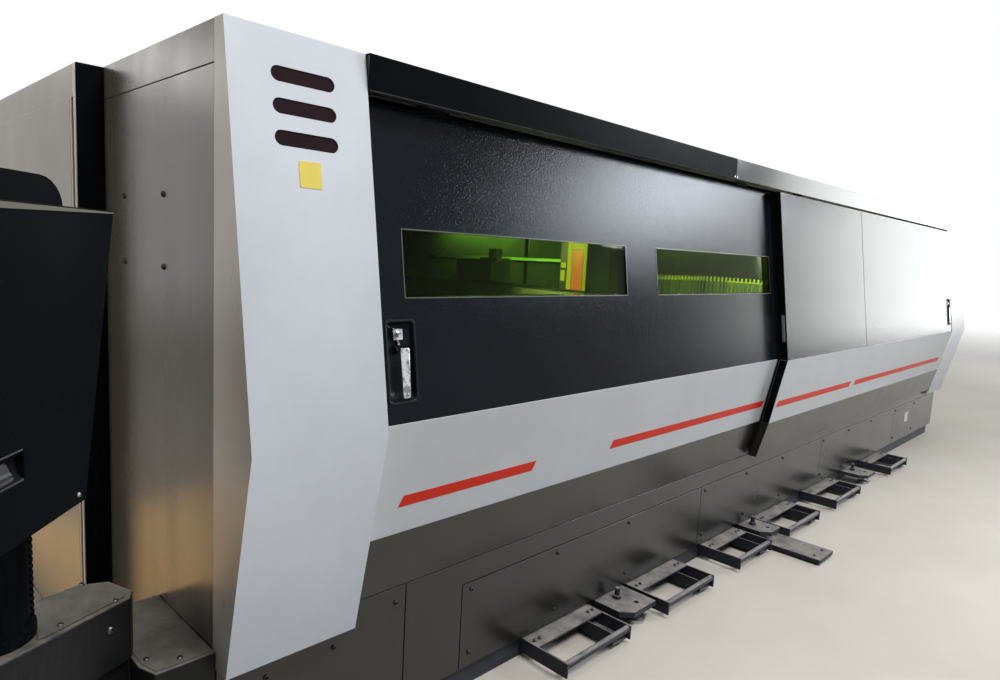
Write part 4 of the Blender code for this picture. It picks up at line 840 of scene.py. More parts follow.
def dress(node, width, finish):
    """A node's shape drawn again with rounded edges, in the node's place."""
    plain = node_copy(node, node + "_finished")
    if node in RESHAPED:
        for corner in plain.data.vertices:
            corner.co = RESHAPED[node](corner.co)
    piece = finish_piece(softened(plain, width), node, finish, (node,))
    if node in OTHER_SIDES:
        axis, second = OTHER_SIDES[node]
        piece.data.materials.append(FINISH[second])
        for face in piece.data.polygons:
            if face.normal.dot(Vector(axis)) > SQUARE_ON:
                face.material_index = 1


def repaint(node, finish):
    """A node keeps its own mesh and gets a finish."""
    data = frame["nodes"][node].data
    data.materials.clear()
    data.materials.append(FINISH[finish])


# Stripes, seals and plates

# Red stripes on the doors' bands: name, node, left and right end
STRIPES = (
    ("door_1_stripe_left", "door_1_band", 0.532, 1.150),
    ("door_1_stripe_right", "door_1_band", 1.640, 3.115),
    ("door_2_stripe_left", "door_2_band", 3.165, 4.380),
    ("door_2_stripe_right", "door_2_band", 4.470, 6.800),
)

# Left, right, foot and top of small plates and of the seam in the right door
PILLAR_PLATE = (0.174, 0.237, 1.756, 1.823)
SKIRT_PLATE = (6.47, 6.575, 0.245, 0.335)
DOOR_SEAM = (4.488, 4.492, 1.106, 2.026)

# Bright plate on the right door's leading edge: where the door is probed, foot and top of the plate,
# and where it starts and ends behind the door's face
FINGER_PROBE = 3.17
FINGER_PLATE = (1.205, 1.352)
FINGER_DEPTHS = (0.009, 0.026)
FINGER_LIFT = 0.0025

# Brush seal between the doors: sides, where the doors are probed, heights of its corners,
# start of the ray that finds the right door's rear, and the gap to the left door
SEAL_SIDES = (3.144, 3.158)
SEAL_PROBE = 3.150
SEAL_HEIGHTS = (0.56, 0.80, 1.094, 1.108, 1.40, 1.70, 2.01)
SEAL_BEHIND = 0.02
SEAL_GAP = 0.0025

# Header: its lengths and the joints between them, the ends and section of the lip, a bright strip that is a
# painted highlight, the marks beside each joint
HEADERS = ("header_left", "header_middle", "header_right")
HEADER_JOINTS = (2.60, 4.79)
LIP_END = 0.004
LIP_FRONT = (-HAIR, 0.0025)
LIP_REAR = (0.001, 0.0005)
HEADER_MARKS = (("left", -0.016), ("right", 0.010))
MARK_WIDTH = 0.006
MARK_HEIGHTS = (2.050, 2.058)


def stripe(name, node, left, right):
    """A red stripe along a silver band, with slanted ends."""
    low = STRIPE_CENTRE - STRIPE_HEIGHT / 2
    high = STRIPE_CENTRE + STRIPE_HEIGHT / 2
    lean = STRIPE_HEIGHT * STRIPE_SLANT
    outline = [(left, 0.0, low), (right, 0.0, low), (right + lean, 0.0, high), (left + lean, 0.0, high)]
    plate(name, node, "front", outline, "red", lift=2 * HAIR)


def window_trim(name, node, pane):
    """A thin pale seal round a window, seated on the door's face."""
    low, high = (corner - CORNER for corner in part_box(pane))
    outer = rectangle(low.x, high.x, low.z, high.z, TRIM_WIDTH)
    edge = rectangle(low.x, high.x, low.z, high.z, 2 * HAIR)
    plate(name, node, "front", outer, "trim", opening=edge)


def finger_plate():
    """Bright wear plate on the right door's leading edge."""
    near, far = FINGER_DEPTHS
    outline = []
    for height, depths in zip(FINGER_PLATE, ((near, far), (far, near))):
        place, _ = first_hit("door_2", at(FINGER_PROBE, -CLOSE_BY, height), AIMS["front"])
        outline += [(0, place.y - CORNER.y + depth, height) for depth in depths]
    plate("door_2_finger_plate", "door_2_panel", "left", outline, "steel", lift=FINGER_LIFT, rounding=0.0008)


def door_edge_seal():
    """Brush seal behind the right door's leading edge, which closes the slit between the doors."""
    left, right = (at(side, 0, 0).x for side in SEAL_SIDES)
    rings = []
    for height in SEAL_HEIGHTS:
        behind, _ = first_hit("door_2", at(SEAL_PROBE, SEAL_BEHIND, height), AIMS["rear"])
        face, _ = first_hit("door_1", at(SEAL_PROBE, -CLOSE_BY, height), AIMS["front"])
        front = behind.y + HAIR
        rear = face.y - SEAL_GAP
        sides = ((left, front), (right, front), (right, rear), (left, rear))
        rings.append([(x, y, height) for x, y in sides])
    bm = bmesh.new()
    bridge(bm, rings)
    finish_piece(softened(link_mesh("door_edge_seal", bm), 0.0010, 2), "door_2_panel", "rubber")


def header_lip():
    """The header's turned-in lower edge, a thin bright strip that is a painted highlight, with its joint
    marks.
    """
    edge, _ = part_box("header_left")
    left = edge.x + LIP_END
    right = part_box("header_right")[1].x - LIP_END
    sides = ((left, LIP_FRONT), (right, LIP_FRONT), (right, LIP_REAR), (left, LIP_REAR))
    face = [(x, edge.y + back, edge.z + up) for x, (back, up) in sides]
    bm = bmesh.new()
    bridge(bm, [face, [(x, y - 2 * HAIR, z) for x, y, z in face]])
    # Bright strip painted as the edge's highlight
    finish_piece(link_mesh("header_lip", bm), "header_left", "screw")
    for index, joint in enumerate(HEADER_JOINTS):
        for (side, shift), node in zip(HEADER_MARKS, HEADERS[index:]):
            outline = rectangle(joint + shift, joint + shift + MARK_WIDTH, *MARK_HEIGHTS)
            plate("header_mark_%d_%s" % (index + 1, side), node, "front", outline, "zinc", lift=2 * HAIR)


# Door handles and locks

# How far left of a handle dish the door's face is probed
DISH_CLEAR = 0.008

# Handle dish from its rim inwards: distance inside the node's outline, corner radius, and depth behind
# the door's face
DISH_RINGS = (
    (0.0010, 0.010, 0.0285), (0.0010, 0.010, -0.0004), (-0.0040, 0.013, -0.0004), (-0.0040, 0.013, -0.0012),
    (-0.0028, 0.013, -0.0024), (0.0015, 0.013, -0.0026), (0.0036, 0.014, -0.0010), (0.0048, 0.015, 0.0030),
    (0.0066, 0.017, 0.0120), (0.0120, 0.020, 0.0205), (0.0210, 0.022, 0.0245), (0.0300, 0.018, 0.0254),
)

# Lugs that hold the lever's pin: their inner and outer side beside the lever, how far the pin is below its
# top, and their profile as depth behind the door's face and height over the pin
LUG_SIDES = (0.0012, 0.0055)
PIN_DROP = 0.010
LUG_PROFILE = (
    (0.0262, -0.012), (0.0262, 0.012), (0.010, 0.010), (0.003, 0.006), (0.0, 0.0), (0.003, -0.006),
    (0.010, -0.010),
)

# Lock plate: depth of its rear behind the door's face, of its front behind the cylinder's, its chamfer
# and its corners
LOCK_REAR = 0.0250
LOCK_FRONT = 0.0115
LOCK_CHAMFER = 0.0012
LOCK_CORNER = 0.003

# Lock cylinder and its key slot: radius, share of it sideways, and depth behind the foremost point
CYLINDER_SIDES = 24
CYLINDER_RINGS = (
    (0.0098, 1.0, 0.0155), (0.0098, 1.0, 0.0107), (0.0086, 1.0, 0.0103), (0.0084, 1.0, 0.0012),
    (0.0074, 1.0, 0.0003), (0.0030, 0.30, 0.0003), (0.0028, 0.30, 0.0022),
)

# Link from the lock down to the lever: gap below the lock, end above the lever, its lean to the right,
# half width along its length, and its section as share of the half width and depth behind the door's face
LINK_GAP = 0.0010
LINK_END = 0.004
LINK_LEAN = 0.004
LINK_WIDTHS = ((0.0, 0.0045), (0.5, 0.0038), (1.0, 0.0060))
LINK_SECTION = ((-1.0, 0.0252), (1.0, 0.0252), (1.0, 0.0160), (0.4, 0.0135), (-0.4, 0.0135), (-1.0, 0.0160))

# Lever from its foot up: share of its height, of its width for each half, and of its depth for its near
# and far side; then how far its sides are flattened and where along it its face is probed
LEVER_DEPTH = 0.011
LEVER_RINGS = (
    (0.000, 0.30, 0.48, 0.60), (0.015, 0.37, 0.22, 0.78), (0.060, 0.42, 0.10, 0.84),
    (0.250, 0.43, 0.04, 0.78), (0.500, 0.45, 0.02, 0.70), (0.750, 0.48, 0.02, 0.66),
    (0.900, 0.50, 0.04, 0.66), (0.975, 0.50, 0.10, 0.66), (0.995, 0.47, 0.22, 0.60),
)
LEVER_SIDES = 8
LEVER_FLATNESS = 1.15
LEVER_PROBES = (0.2, 0.8)


def door_face(side):
    """The door's outer face beside its handle dish: y in the row frame at a height."""
    low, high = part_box("door_%s_handle_dish" % side)
    return front_line("door_" + side, low.x - DISH_CLEAR, low.y, (low.z, high.z))


def make_dish(side):
    """Moulded handle dish with a thin rim on the door, a rounded hollow and two bearing lugs."""
    node = "door_%s_handle_dish" % side
    low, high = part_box(node)
    face = door_face(side)
    bm = bmesh.new()
    rings = []
    for inset, radius, depth in DISH_RINGS:
        outline = rounded_outline(low.x + inset, high.x - inset, low.z + inset, high.z - inset, radius)
        rings.append([(x, face(z) + depth, z) for x, z in outline])
    bridge(bm, rings)
    lever_low, lever_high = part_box("door_%s_lever" % side)
    pin = lever_high.z - PIN_DROP
    for edge, away in ((lever_low.x, -1), (lever_high.x, 1)):
        rings = []
        for reach in LUG_SIDES:
            x = edge + away * reach
            rings.append([(x, face(pin + up) + depth, pin + up) for depth, up in LUG_PROFILE])
        bridge(bm, rings)
    item = link_mesh(node + "_moulded", bm)
    finish_piece(softened(item, 0.0004, 2, 40.0), node, "dish", (node,))


def make_lock(side):
    """Square chromed lock plate with a raised round cylinder and its key slot, and its link."""
    node = "door_%s_lock" % side
    low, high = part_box(node)
    middle = (low.x + high.x) / 2
    centre = (low.z + high.z) / 2
    half = (high.x - low.x) / 2
    face = door_face(side)
    near = low.y - face(centre)
    front = near + LOCK_FRONT
    bm = bmesh.new()
    rings = []
    for inset, depth in ((0.0, LOCK_REAR), (0.0, front + LOCK_CHAMFER), (LOCK_CHAMFER, front)):
        reach = half - inset
        outline = rounded_outline(middle - reach, middle + reach, centre - reach, centre + reach, LOCK_CORNER)
        rings.append([(x, face(z) + depth, z) for x, z in outline])
    bridge(bm, rings)
    turns = [math.tau * step / CYLINDER_SIDES for step in range(CYLINDER_SIDES)]
    rings = []
    for radius, share, depth in CYLINDER_RINGS:
        circle = [(math.cos(turn) * radius * share, centre + math.sin(turn) * radius) for turn in turns]
        rings.append([(middle + x, face(z) + near + depth, z) for x, z in circle])
    bridge(bm, rings)
    item = link_mesh(node + "_cylinder", bm)
    finish_piece(softened(item, 0.0003, 2, 40.0), node, "chrome", (node,))
    top = low.z - LINK_GAP
    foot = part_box("door_%s_lever" % side)[1].z + LINK_END
    bm = bmesh.new()
    rings = []
    for share, reach in LINK_WIDTHS:
        height = top + (foot - top) * share
        centre_line = middle + LINK_LEAN * (1.0 + share)
        rings.append([(centre_line + reach * x, face(height) + depth, height) for x, depth in LINK_SECTION])
    bridge(bm, rings)
    finish_piece(softened(link_mesh("door_%s_lock_link" % side, bm), 0.0008, 2), node, "chrome")


def lever_ring(middle, half, front, rear, height):
    """A level section of a lever, with flattened sides."""
    points = []
    for index in range(LEVER_SIDES):
        turn = math.tau * (index + 0.5) / LEVER_SIDES
        across = max(-1.0, min(1.0, math.cos(turn) * LEVER_FLATNESS)) * half
        deep = (front + rear) / 2 - math.sin(turn) * (rear - front) / 2
        points.append((middle + across, deep, height))
    return points


def make_lever(side):
    """Cast chrome lever: a broad head on the pin and a long tapering grip with a turned-in foot."""
    node = "door_%s_lever" % side
    low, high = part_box(node)
    middle = (low.x + high.x) / 2
    rise = high.z - low.z
    face = front_line(node, middle, low.y, [low.z + rise * share for share in LEVER_PROBES])
    rings = []
    for share, half, near, far in LEVER_RINGS:
        height = low.z + rise * share
        front = face(height) + LEVER_DEPTH * near
        rear = face(height) + LEVER_DEPTH * far
        rings.append(lever_ring(middle, (high.x - low.x) * half, front, rear, height))
    bm = bmesh.new()
    bridge(bm, rings)
    item = link_mesh(node + "_cast", bm)
    item.data.shade_smooth()
    smooth = item.modifiers.new("round", "SUBSURF")
    smooth.levels = 2
    smooth.render_levels = 2
    finish_piece(baked(item), node, "chrome", (node,))


def dress_cabin():
    """All nodes' finishes, then the cabin's stripes, seals and plates, and the doors' handles and locks."""
    for node, width, finish in DRESSED:
        dress(node, width, finish)
    for node, finish in REPAINTED:
        repaint(node, finish)
    for name, node, left, right in STRIPES:
        stripe(name, node, left, right)
    for side in ("left", "right"):
        window_trim("window_seal_" + side, "door_1_panel", "door_1_window_" + side)
    plate("pillar_plate", "left_pillar", "front", rectangle(*PILLAR_PLATE), "yellow")
    plate("skirt_plate", "skirt_cover_4", "front", rectangle(*SKIRT_PLATE), "label")
    finger_plate()
    plate("door_2_seam", "door_2_panel", "front", rectangle(*DOOR_SEAM), "rubber", lift=HAIR * 1.5)
    door_edge_seal()
    header_lip()
    for side in ("1", "2"):
        make_dish(side)
        make_lock(side)
    for side in ("1", "2"):
        make_lever(side)


# Lids and fasteners

# Outlines of the console arm's lid and the platform's tread, as (along, back), and their thickness
ARM_LID = (
    (-0.176, 0.133), (-0.199, 0.203), (-0.260, 0.226), (-0.330, 0.207), (-0.372, 0.150), (-0.396, 0.012),
    (-0.372, 0.018), (-0.186, 0.098),
)
LID_THICK = 0.003
PLATFORM_TREAD = (
    (-0.010, -0.010), (-0.010, 0.380), (-0.112, 0.380), (-0.164, 0.328), (-0.164, 0.045), (-0.148, -0.010),
)
TREAD_THICK = 0.002

# Fastener places: along, back and up in the machine's measures
SIDE_SCREWS = [(0, 0.33, 1.73), (0, 0.65, 1.73), (0, 0.33, 1.527), (0, 0.65, 1.527)]
SKIRT_ROWS = (0.94, 1.43, 1.95, 2.68, 3.18, 3.70, 4.41, 4.94, 5.47, 6.15, 6.75)
SKIRT_SCREWS = [(x, 0, z) for x in SKIRT_ROWS for z in (0.395, 0.147)]
SKIRT_SCREWS += [(0.594, 0, 0.46), (0.361, 0, 0.394), (0.141, 0, 0.389)]
REAR_COLUMNS = (1.0, 1.7, 2.4, 3.1, 3.8, 4.4, 5.1, 5.8, 6.5, 7.2)
REAR_SCREWS = [(x, 0, z) for x in REAR_COLUMNS for z in (0.16, 0.75, 1.35, 1.95)]
END_SCREWS = [(0, y, z) for y in (0.14, 0.75, 1.35, 1.95, 2.52) for z in (0.17, 0.60, 1.55, 1.97)]
ROOF_SCREWS = [(x, y, 0) for x in (0.3, 1.3, 2.3, 3.1, 4.1, 5.0, 5.9, 7.0) for y in (0.25, 1.0, 1.75, 2.5)]
ARM_SCREWS = [(-0.211, 0.091, 0), (-0.342, 0.051, 0), (-0.250, 0.232, 0), (-0.082, 0.013, 0)]
ARM_SCREWS += [(-0.148, 0.060, 0)]

# How deep the heads on the outermost faces are sunk, so that none stands past the machine's own box
SUNK = 0.0044

# Name, side that they are put in from, places, width of the head, finish, node they belong to, how far sunk
SCREW_SETS = (
    ("side_panel_screws", "left", SIDE_SCREWS, 0.018, "black_screw", "left_side_panel", 0.0),
    ("skirt_screws", "front", SKIRT_SCREWS, 0.017, "black_screw", "skirt_rail", 0.0),
    ("rear_panel_screws", "rear", REAR_SCREWS, SCREW_HEAD, "zinc", "rear_panel_left", SUNK),
    ("end_panel_screws", "right", END_SCREWS, SCREW_HEAD, "zinc", "right_end_panel", SUNK),
    ("roof_screws", "top", ROOF_SCREWS, SCREW_HEAD, "screw", "roof_left", SUNK),
)

# Guard frames, as left end and width, and where the bolts of their feet stand; then two bolts of the tie bar,
# and the height over the floor from which the bolts' places are looked for
GUARDS = ((1.25, 0.43), (1.98, 0.43), (2.70, 0.39), (3.34, 0.48), (4.12, 0.49), (5.33, 0.45))
GUARD_BOLTS = (0.025, 0.055)
GUARD_BACK = -0.06
TIE_BOLTS = [(3.185, -0.455, 0), (3.295, -0.455, 0)]
BOLTS_BELOW = 0.40

# Heads of the screws on top of the console's arm and platform, and the plug screw in the arm's front:
# its place, the direction it faces and its head
ARM_HEAD = 0.017
PLUG_PLACE = (-0.232, 0.062, 0.633)
PLUG_FACING = Vector((0.394, -0.919, 0.0))
PLUG_HEAD = 0.022


def top_plate(name, node, outline, thick, finish):
    """A flat plate or lid that lies on top of a node; outline as (along, back)."""
    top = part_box(node)[1].z
    bm = bmesh.new()
    bridge(bm, [[at(x, y, height) for x, y in outline] for height in (top + HAIR, top + thick)])
    finish_piece(softened(link_mesh(name, bm), 0.001, 2), node, finish)


def make_lids():
    """Screwed lid on the console arm, with a narrow margin all round it, and the platform's tread."""
    top_plate("console_arm_lid", "console_arm", ARM_LID, LID_THICK, "lid")
    top_plate("console_platform_tread", "console_platform", PLATFORM_TREAD, TREAD_THICK, "tread")


def make_fasteners():
    """Every screw and bolt on the frame."""
    for name, side, places, width, finish, node, sunk in SCREW_SETS:
        fasten(name, node, frame_spots(side, places), "screw", width, finish, sunk)
    bolts = []
    for left, width in GUARDS:
        right = left + width
        near, far = GUARD_BOLTS
        bolts += [(x, GUARD_BACK, 0) for x in (left + near, left + far, right - far, right - near)]
    spots = frame_spots("top", bolts + TIE_BOLTS, BOLTS_BELOW)
    fasten("guard_bolts", "base_beam_front", spots, "bolt", BOLT_HEAD, "screw")
    fasten("arm_screws", "console_arm", frame_spots("top", ARM_SCREWS), "screw", ARM_HEAD, "screw")
    plug = [first_hit("frame", at(*PLUG_PLACE) + PLUG_FACING * CLOSE_BY, -PLUG_FACING)]
    fasten("arm_plug_screw", "console_arm", plug, "screw", PLUG_HEAD, "screw")


# Cutting chamber, seen through the windows

# Rows of curtain parts: name, node they belong to, count, first and last place, size of each, finish
CURTAINS = (
    ("chamber_curtain", "rear_panel_left", 20, (5.90, 2.612, 1.19), (7.34, 2.612, 1.19),
     (0.060, 0.004, 0.42), "drape"),
    ("chamber_curtain_hooks", "rear_panel_left", 20, (5.90, 2.600, 1.42), (7.34, 2.600, 1.42),
     (0.022, 0.006, 0.055), "hook"),
    ("slot_curtain_hooks", "slot_curtain", 44, (7.362, 0.37, 1.42), (7.362, 2.57, 1.42),
     (0.006, 0.016, 0.055), "hook"),
    ("slot_curtain_strips", "slot_curtain", 44, (7.372, 0.37, 1.205), (7.372, 2.57, 1.205),
     (0.004, 0.040, 0.38), "drape"),
)

# Blocks on the chamber's rear wall: name, low and high corner, rounding, finish
WALL_BLOCKS = (
    ("chamber_cable_tray", (2.95, 2.630, 1.545), (4.90, 2.658, 1.572), 0.003, "drape"),
    ("chamber_rail", (5.85, 2.620, 1.40), (7.38, 2.645, 1.43), 0.004, "steel"),
)

# Colour fields on the drive cover: name, front and rear edge, foot and top over the cover's foot, finish;
# a field without a top ends just below the cover's own
TOWER_FIELDS = (
    ("field_low", 0.2335, 0.3005, 0.012, 0.198, "orange"),
    ("field_high", 0.2335, 0.3005, 0.240, None, "orange"),
    ("square", 0.2335, 0.3005, 0.2, 0.238, "strip"),
    ("edge_front", 0.2155, 0.232, 0.012, None, "strip"),
    ("edge_rear", 0.302, 0.326, 0.012, None, "strip"),
    ("tag_high", 0.335, 0.363, 0.110, 0.135, "strip"),
    ("tag_low", 0.339, 0.363, 0.050, 0.099, "strip"),
)
FIELD_MARGIN = 0.012


def make_chamber():
    """What the windows show: the curtains, a tray and a rail, and the drive cover's colour fields."""
    for name, node, count, start, end, strip, finish in CURTAINS:
        hang(name, node, count, start, end, strip, finish)
    for name, low, high, rounding, finish in WALL_BLOCKS:
        box_piece(name, "rear_panel_left", low, high, rounding, finish)
    foot, top = (corner.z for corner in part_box("gantry_drive_cover"))
    for name, front, rear, rise, reach, finish in TOWER_FIELDS:
        low = foot + rise
        high = top - FIELD_MARGIN if reach is None else foot + reach
        outline = [(0, front, low), (0, rear, low), (0, rear, high), (0, front, high)]
        plate("tower_" + name, "gantry_drive_cover", "left", outline, finish)


# Cabinet door: width of the rim before it, the gap between them and how far in the rim lies, and the trim on
# the cabinet's front edge: its thickness, front, rear, foot and rise over the door; rim and trim are painted
# pale as a painted highlight along the corner
RIM_WIDTH = 0.010
RIM_GAP = 0.002
RIM_INSET = 0.0002
EDGE_TRIM_THICK = 0.0055
EDGE_TRIM_BACK = (0.8352, 0.846)
EDGE_TRIM_FOOT = 0.104
EDGE_TRIM_RISE = 0.098


def make_cabinet_door():
    """Lift-off door on the cabinet's left face, its rim, and the trim on the cabinet's edge; rim and trim are
    painted pale as a painted highlight.
    """
    node = "side_cabinet_cover"
    low, high = (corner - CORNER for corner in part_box(node))
    leaf = box_piece("side_cabinet_door", node, (low.x + HAIR, low.y, low.z), tuple(high), 0.0025, "cover")
    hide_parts(node)
    front = low.y - RIM_GAP
    box_piece("side_cabinet_door_rim", node, (low.x + RIM_INSET, front - RIM_WIDTH, low.z),
              (high.x, front, high.z), 0.003, "rim")
    front, rear = EDGE_TRIM_BACK
    box_piece("side_cabinet_edge_trim", node, (high.x - EDGE_TRIM_THICK, front, EDGE_TRIM_FOOT),
              (high.x - HAIR, rear, high.z + EDGE_TRIM_RISE), 0.002, "rim")


# Operator console, measured across from its column and up from the floor

SCREEN_SIDE = CONSOLE_TURN @ Vector((0, 1, 0))
PULL_SIDE = CONSOLE_TURN @ Vector((-1, 0, 0))
CONSOLE_CLEAR = 1.5
EDGE_ROUNDING = 0.0008

# Screen opening as left, right, foot and top, and the bezel round it
SCREEN = (-0.118, 0.282, 1.302, 1.602)
BEZEL_RIM = 0.014
BEZEL_STEP = 0.003
BEZEL_LIFT = 0.004

# Keys below the screen: rows and columns, first one, pitch, size and lift
KEY_ROWS = 3
KEY_COLUMNS = 5
KEY_START = (0.010, 1.150)
KEY_PITCH = (0.030, 0.028)
KEY_SIZE = (0.022, 0.020)
KEY_LIFT = 0.003

# Screws in the console's end, and the pale edge over it, which is dust and a painted highlight along the top
CONSOLE_SCREWS = ((-0.245, 1.130), (-0.585, 1.136))
CONSOLE_SCREW_HEAD = 0.010
TOP_EDGE = ((-0.0935, 1.6575), (-0.0935, 1.6548), (-0.4915, 1.6460), (-0.4915, 1.6575))

# Finger pull's insert: inner and outer side, foot and top, length, lip, hollow's depth and half height
SCOOP_SIDES = (0.3145, 0.3315)
SCOOP_HEIGHTS = (1.2124, 1.2666)
SCOOP_LENGTH = (-0.5145, -0.4055)
SCOOP_LIP = 0.004
SCOOP_DEPTH = 0.013
SCOOP_HALF = 0.0231
SCOOP_STEPS = 8


def console_spot(across, height, aim):
    """A place on the console's face, with 'across' along the face from the swivel axis."""
    side = Vector((1, 0, 0)) if aim is SCREEN_SIDE else Vector((0, 1, 0))
    spot = at(*POST) + CONSOLE_TURN @ (side * across) + Vector((0, 0, height)) - aim * CONSOLE_CLEAR
    return first_hit("console", spot, aim)


def console_plate(name, aim, outline, finish, lift, opening=()):
    """A thin plate on the console; outlines as (across, height)."""
    spots = [console_spot(across, height, aim) for across, height in outline]
    inner = [console_spot(across, height, aim) for across, height in opening]
    item = softened(thin_plate(name, spots, inner, lift), min(EDGE_ROUNDING, lift / 3), 2)
    finish_piece(item, "console_housing", finish)


def make_console():
    """The console's bezel, keys, screws, finger pull and top edge; the top edge's pale strip is dust and a
    painted highlight.
    """
    outer = corners(*SCREEN, BEZEL_RIM)
    console_plate("console_bezel", SCREEN_SIDE, outer, "plastic", BEZEL_LIFT, corners(*SCREEN, BEZEL_STEP))
    for row in range(KEY_ROWS):
        for column in range(KEY_COLUMNS):
            left = KEY_START[0] + column * KEY_PITCH[0]
            foot = KEY_START[1] + row * KEY_PITCH[1]
            key = corners(left, left + KEY_SIZE[0], foot, foot + KEY_SIZE[1])
            finish = "label" if row else "cover"
            console_plate("console_key_%d_%d" % (row, column), SCREEN_SIDE, key, finish, KEY_LIFT)
    screws = [console_spot(across, height, PULL_SIDE) for across, height in CONSOLE_SCREWS]
    fasten("console_screws", "console_housing", screws, "screw", CONSOLE_SCREW_HEAD, "zinc")
    make_pull_scoop()
    # Pale strip along the top: dust and a painted highlight
    console_plate("console_top_edge", PULL_SIDE, TOP_EDGE, "dust_and_highlight_edge", PLATE_LIFT)


def make_pull_scoop():
    """Glossy hollowed insert that lines the finger pull in the console's end."""
    inner, outer = SCOOP_SIDES
    low, high = SCOOP_HEIGHTS
    section = [(outer, low), (inner, low), (inner, high), (outer, high), (outer, high - SCOOP_LIP)]
    for step in range(1, SCOOP_STEPS):
        angle = math.pi * step / SCOOP_STEPS
        rise = SCOOP_HALF * math.cos(angle)
        section.append((outer - SCOOP_DEPTH * math.sin(angle), (low + high) / 2 + rise))
    section.append((outer, low + SCOOP_LIP))
    rings = []
    for along in SCOOP_LENGTH:
        turned_to = [(CONSOLE_TURN @ Vector((x, along, 0)), z) for x, z in section]
        rings.append([at(*POST) + level + Vector((0, 0, z)) for level, z in turned_to])
    bm = bmesh.new()
    bridge(bm, rings)
    item = link_mesh("console_pull_scoop", bm)
    finish_piece(softened(item, 0.0008, 2, 40.0), "console_housing", "gloss")


# Camera, light and stage

SENSOR_WIDTH = 36.0
VIEW_LIMIT = 200.0

# Soft lamps, of which the first two stand where the doors mirror them: name, place, target, width and
# height, power, colour, and spread in degrees; one of them is oval
OVAL_LAMP = "door_1_softbox"
WHITE = (1.0, 1.0, 1.0)
LAMPS = (
    ("door_1_softbox", (9.3, -4.4, 4.12), (1.8, 0.0, 1.8), (2.9, 1.8), 62.0, (0.86, 0.92, 1.0), 70),
    ("door_2_softbox", (15.2, -3.05, 2.6), (4.7, 0.0, 1.6), (4.2, 3.3), 255.0, (0.97, 1.0, 0.98), 180),
    ("front_high", (1.8, -5.6, 10.0), (1.4, 0.0, 1.2), (5.0, 3.0), 960.0, WHITE, 180),
    ("left_fill", (-5.0, 1.5, 3.4), (-0.2, 0.8, 1.6), (2.5, 2.5), 105.0, (1.0, 0.94, 0.85), 180),
    ("crown", (-2.0, 5.5, 3.25), (0.0, 0.3, 2.0), (1.4, 0.5), 6.0, (1.0, 0.97, 0.92), 180),
    ("floor_glow", (-0.75, 1.7, 0.02), (-0.75, 1.7, 1.0), (1.0, 1.7), 5.2, (1.0, 0.50, 0.08), 180),
    ("rear_fill", (3.0, 8.0, 4.5), (3.5, 2.0, 1.0), (4.0, 3.0), 200.0, WHITE, 180),
    ("top", (3.5, 0.5, 7.0), (3.5, 0.5, 0.0), (7.0, 4.0), 200.0, WHITE, 180),
    ("chamber_middle", (4.5, 1.55, 1.92), (4.3, 2.66, 1.45), (0.8, 0.2), 15.0, (0.55, 1.0, 0.35), 75),
    ("chamber_right", (6.1, 1.6, 1.90), (7.38, 1.9, 1.25), (1.2, 0.3), 13.0, (0.9, 1.0, 0.6), 110),
    ("chamber_tower", (1.20, 0.75, 1.80), (1.80, 0.30, 1.62), (0.2, 0.2), 1.3, (1.0, 0.92, 0.8), 50),
)

# Even light round the machine
AMBIENT_COLOUR = (0.93, 0.96, 1.0, 1.0)
AMBIENT_STRENGTH = 0.11

# Floor: its reach, its colour, those of its stains and of the light that it throws back, and the distances
# from the machine at which it starts to fade into the white and has faded
FLOOR_REACH = 80.0
FLOOR_COLOUR = (0.50, 0.47, 0.42)
FLOOR_STAINS = ((0.44, 0.41, 0.355), (0.60, 0.57, 0.52))
FLOOR_GLOW = (0.07, 0.065, 0.06)
FLOOR_FADE = (8.0, 22.0)


def make_camera():
    data = bpy.data.cameras.new("camera")
    data.lens = CAMERA_LENS
    data.sensor_width = SENSOR_WIDTH
    data.clip_end = VIEW_LIMIT
    camera = link_object("camera", data)
    camera.location = CAMERA_PLACE
    camera.rotation_euler = [math.radians(angle) for angle in CAMERA_TURN]
    bpy.context.scene.camera = camera


def make_lights():
    for name, place, target, (width, height), power, colour, spread in LAMPS:
        data = bpy.data.lights.new(name, "AREA")
        data.shape = "ELLIPSE" if name == OVAL_LAMP else "RECTANGLE"
        data.size = width
        data.size_y = height
        data.energy = power
        data.color = colour
        data.spread = math.radians(spread)
        light = link_object(name, data)
        light.visible_camera = False
        light.location = at(*place)
        light.rotation_euler = (at(*target) - at(*place)).to_track_quat("-Z", "Y").to_euler()


def seen_directly(tree):
    """One for rays from the camera, a mirror or clear glass, and nought for light that spreads."""
    rays = tree.nodes.new("ShaderNodeLightPath")
    seen = sums(tree, "MAXIMUM", rays.outputs["Is Camera Ray"], rays.outputs["Is Glossy Ray"])
    return sums(tree, "MAXIMUM", seen, rays.outputs["Is Transmission Ray"])


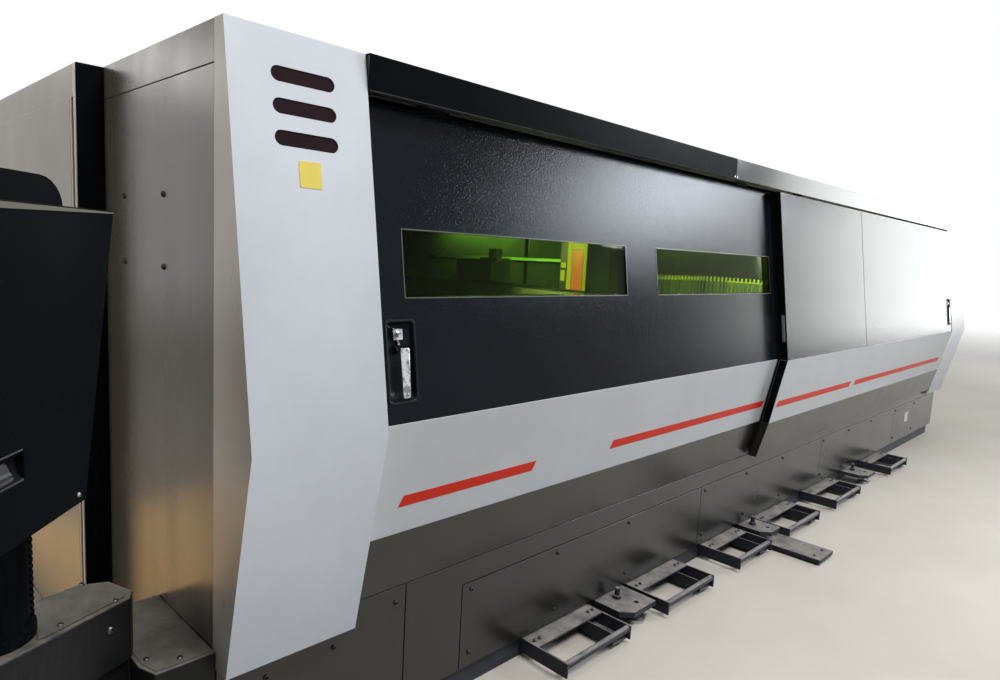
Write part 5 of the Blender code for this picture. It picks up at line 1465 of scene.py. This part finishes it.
def make_world():
    """White behind the machine, and an even soft light round it."""
    world = bpy.data.worlds.new("studio")
    bpy.context.scene.world = world
    world.use_nodes = True
    tree = world.node_tree
    tree.nodes.clear()
    seen = seen_directly(tree)
    backdrop = tree.nodes.new("ShaderNodeBackground")
    backdrop.inputs["Color"].default_value = (*WHITE, 1.0)
    backdrop.inputs["Strength"].default_value = 1.0
    ambient = tree.nodes.new("ShaderNodeBackground")
    ambient.inputs["Color"].default_value = AMBIENT_COLOUR
    ambient.inputs["Strength"].default_value = AMBIENT_STRENGTH
    mixed = tree.nodes.new("ShaderNodeMixShader")
    output = tree.nodes.new("ShaderNodeOutputWorld")
    tree.links.new(seen, mixed.inputs["Fac"])
    tree.links.new(ambient.outputs[0], mixed.inputs[1])
    tree.links.new(backdrop.outputs[0], mixed.inputs[2])
    tree.links.new(mixed.outputs[0], output.inputs["Surface"])


def make_floor():
    """Pale factory floor that runs out into the white backdrop far from the machine."""
    bm = bmesh.new()
    bmesh.ops.create_grid(bm, x_segments=1, y_segments=1, size=FLOOR_REACH)
    floor = link_mesh("floor", bm)
    material, tree, shader, place = new_material("pale_concrete", FLOOR_COLOUR, 0.55, 0.0, 0.3)
    stains = noise(tree, place, 0.9, 6.0, 0.6)
    shade = blend_colours(tree, stains, *FLOOR_STAINS)
    seen = seen_directly(tree)
    tree.links.new(blend_colours(tree, seen, FLOOR_GLOW, shade), shader.inputs["Base Color"])
    add_bump(tree, shader, noise(tree, place, 60.0, 4.0), 0.08, 0.002)
    away = tree.nodes.new("ShaderNodeVectorMath")
    away.operation = "LENGTH"
    tree.links.new(place, away.inputs[0])
    far = ramp(tree, away.outputs["Value"], *FLOOR_FADE)
    white = tree.nodes.new("ShaderNodeEmission")
    mixed = tree.nodes.new("ShaderNodeMixShader")
    output = tree.nodes["Material Output"]
    tree.links.new(sums(tree, "MULTIPLY", far, seen), mixed.inputs["Fac"])
    tree.links.new(shader.outputs["BSDF"], mixed.inputs[1])
    tree.links.new(white.outputs["Emission"], mixed.inputs[2])
    tree.links.new(mixed.outputs[0], output.inputs["Surface"])
    floor.data.materials.append(material)


def main():
    make_camera()
    make_world()
    make_lights()
    make_floor()
    dress_cabin()
    make_lids()
    make_fasteners()
    make_chamber()
    make_cabinet_door()
    make_console()
    for head in HEADS.values():
        bpy.data.objects.remove(head)
    bpy.context.scene.view_settings.view_transform = "Standard"
    bpy.context.view_layer.update()


main()
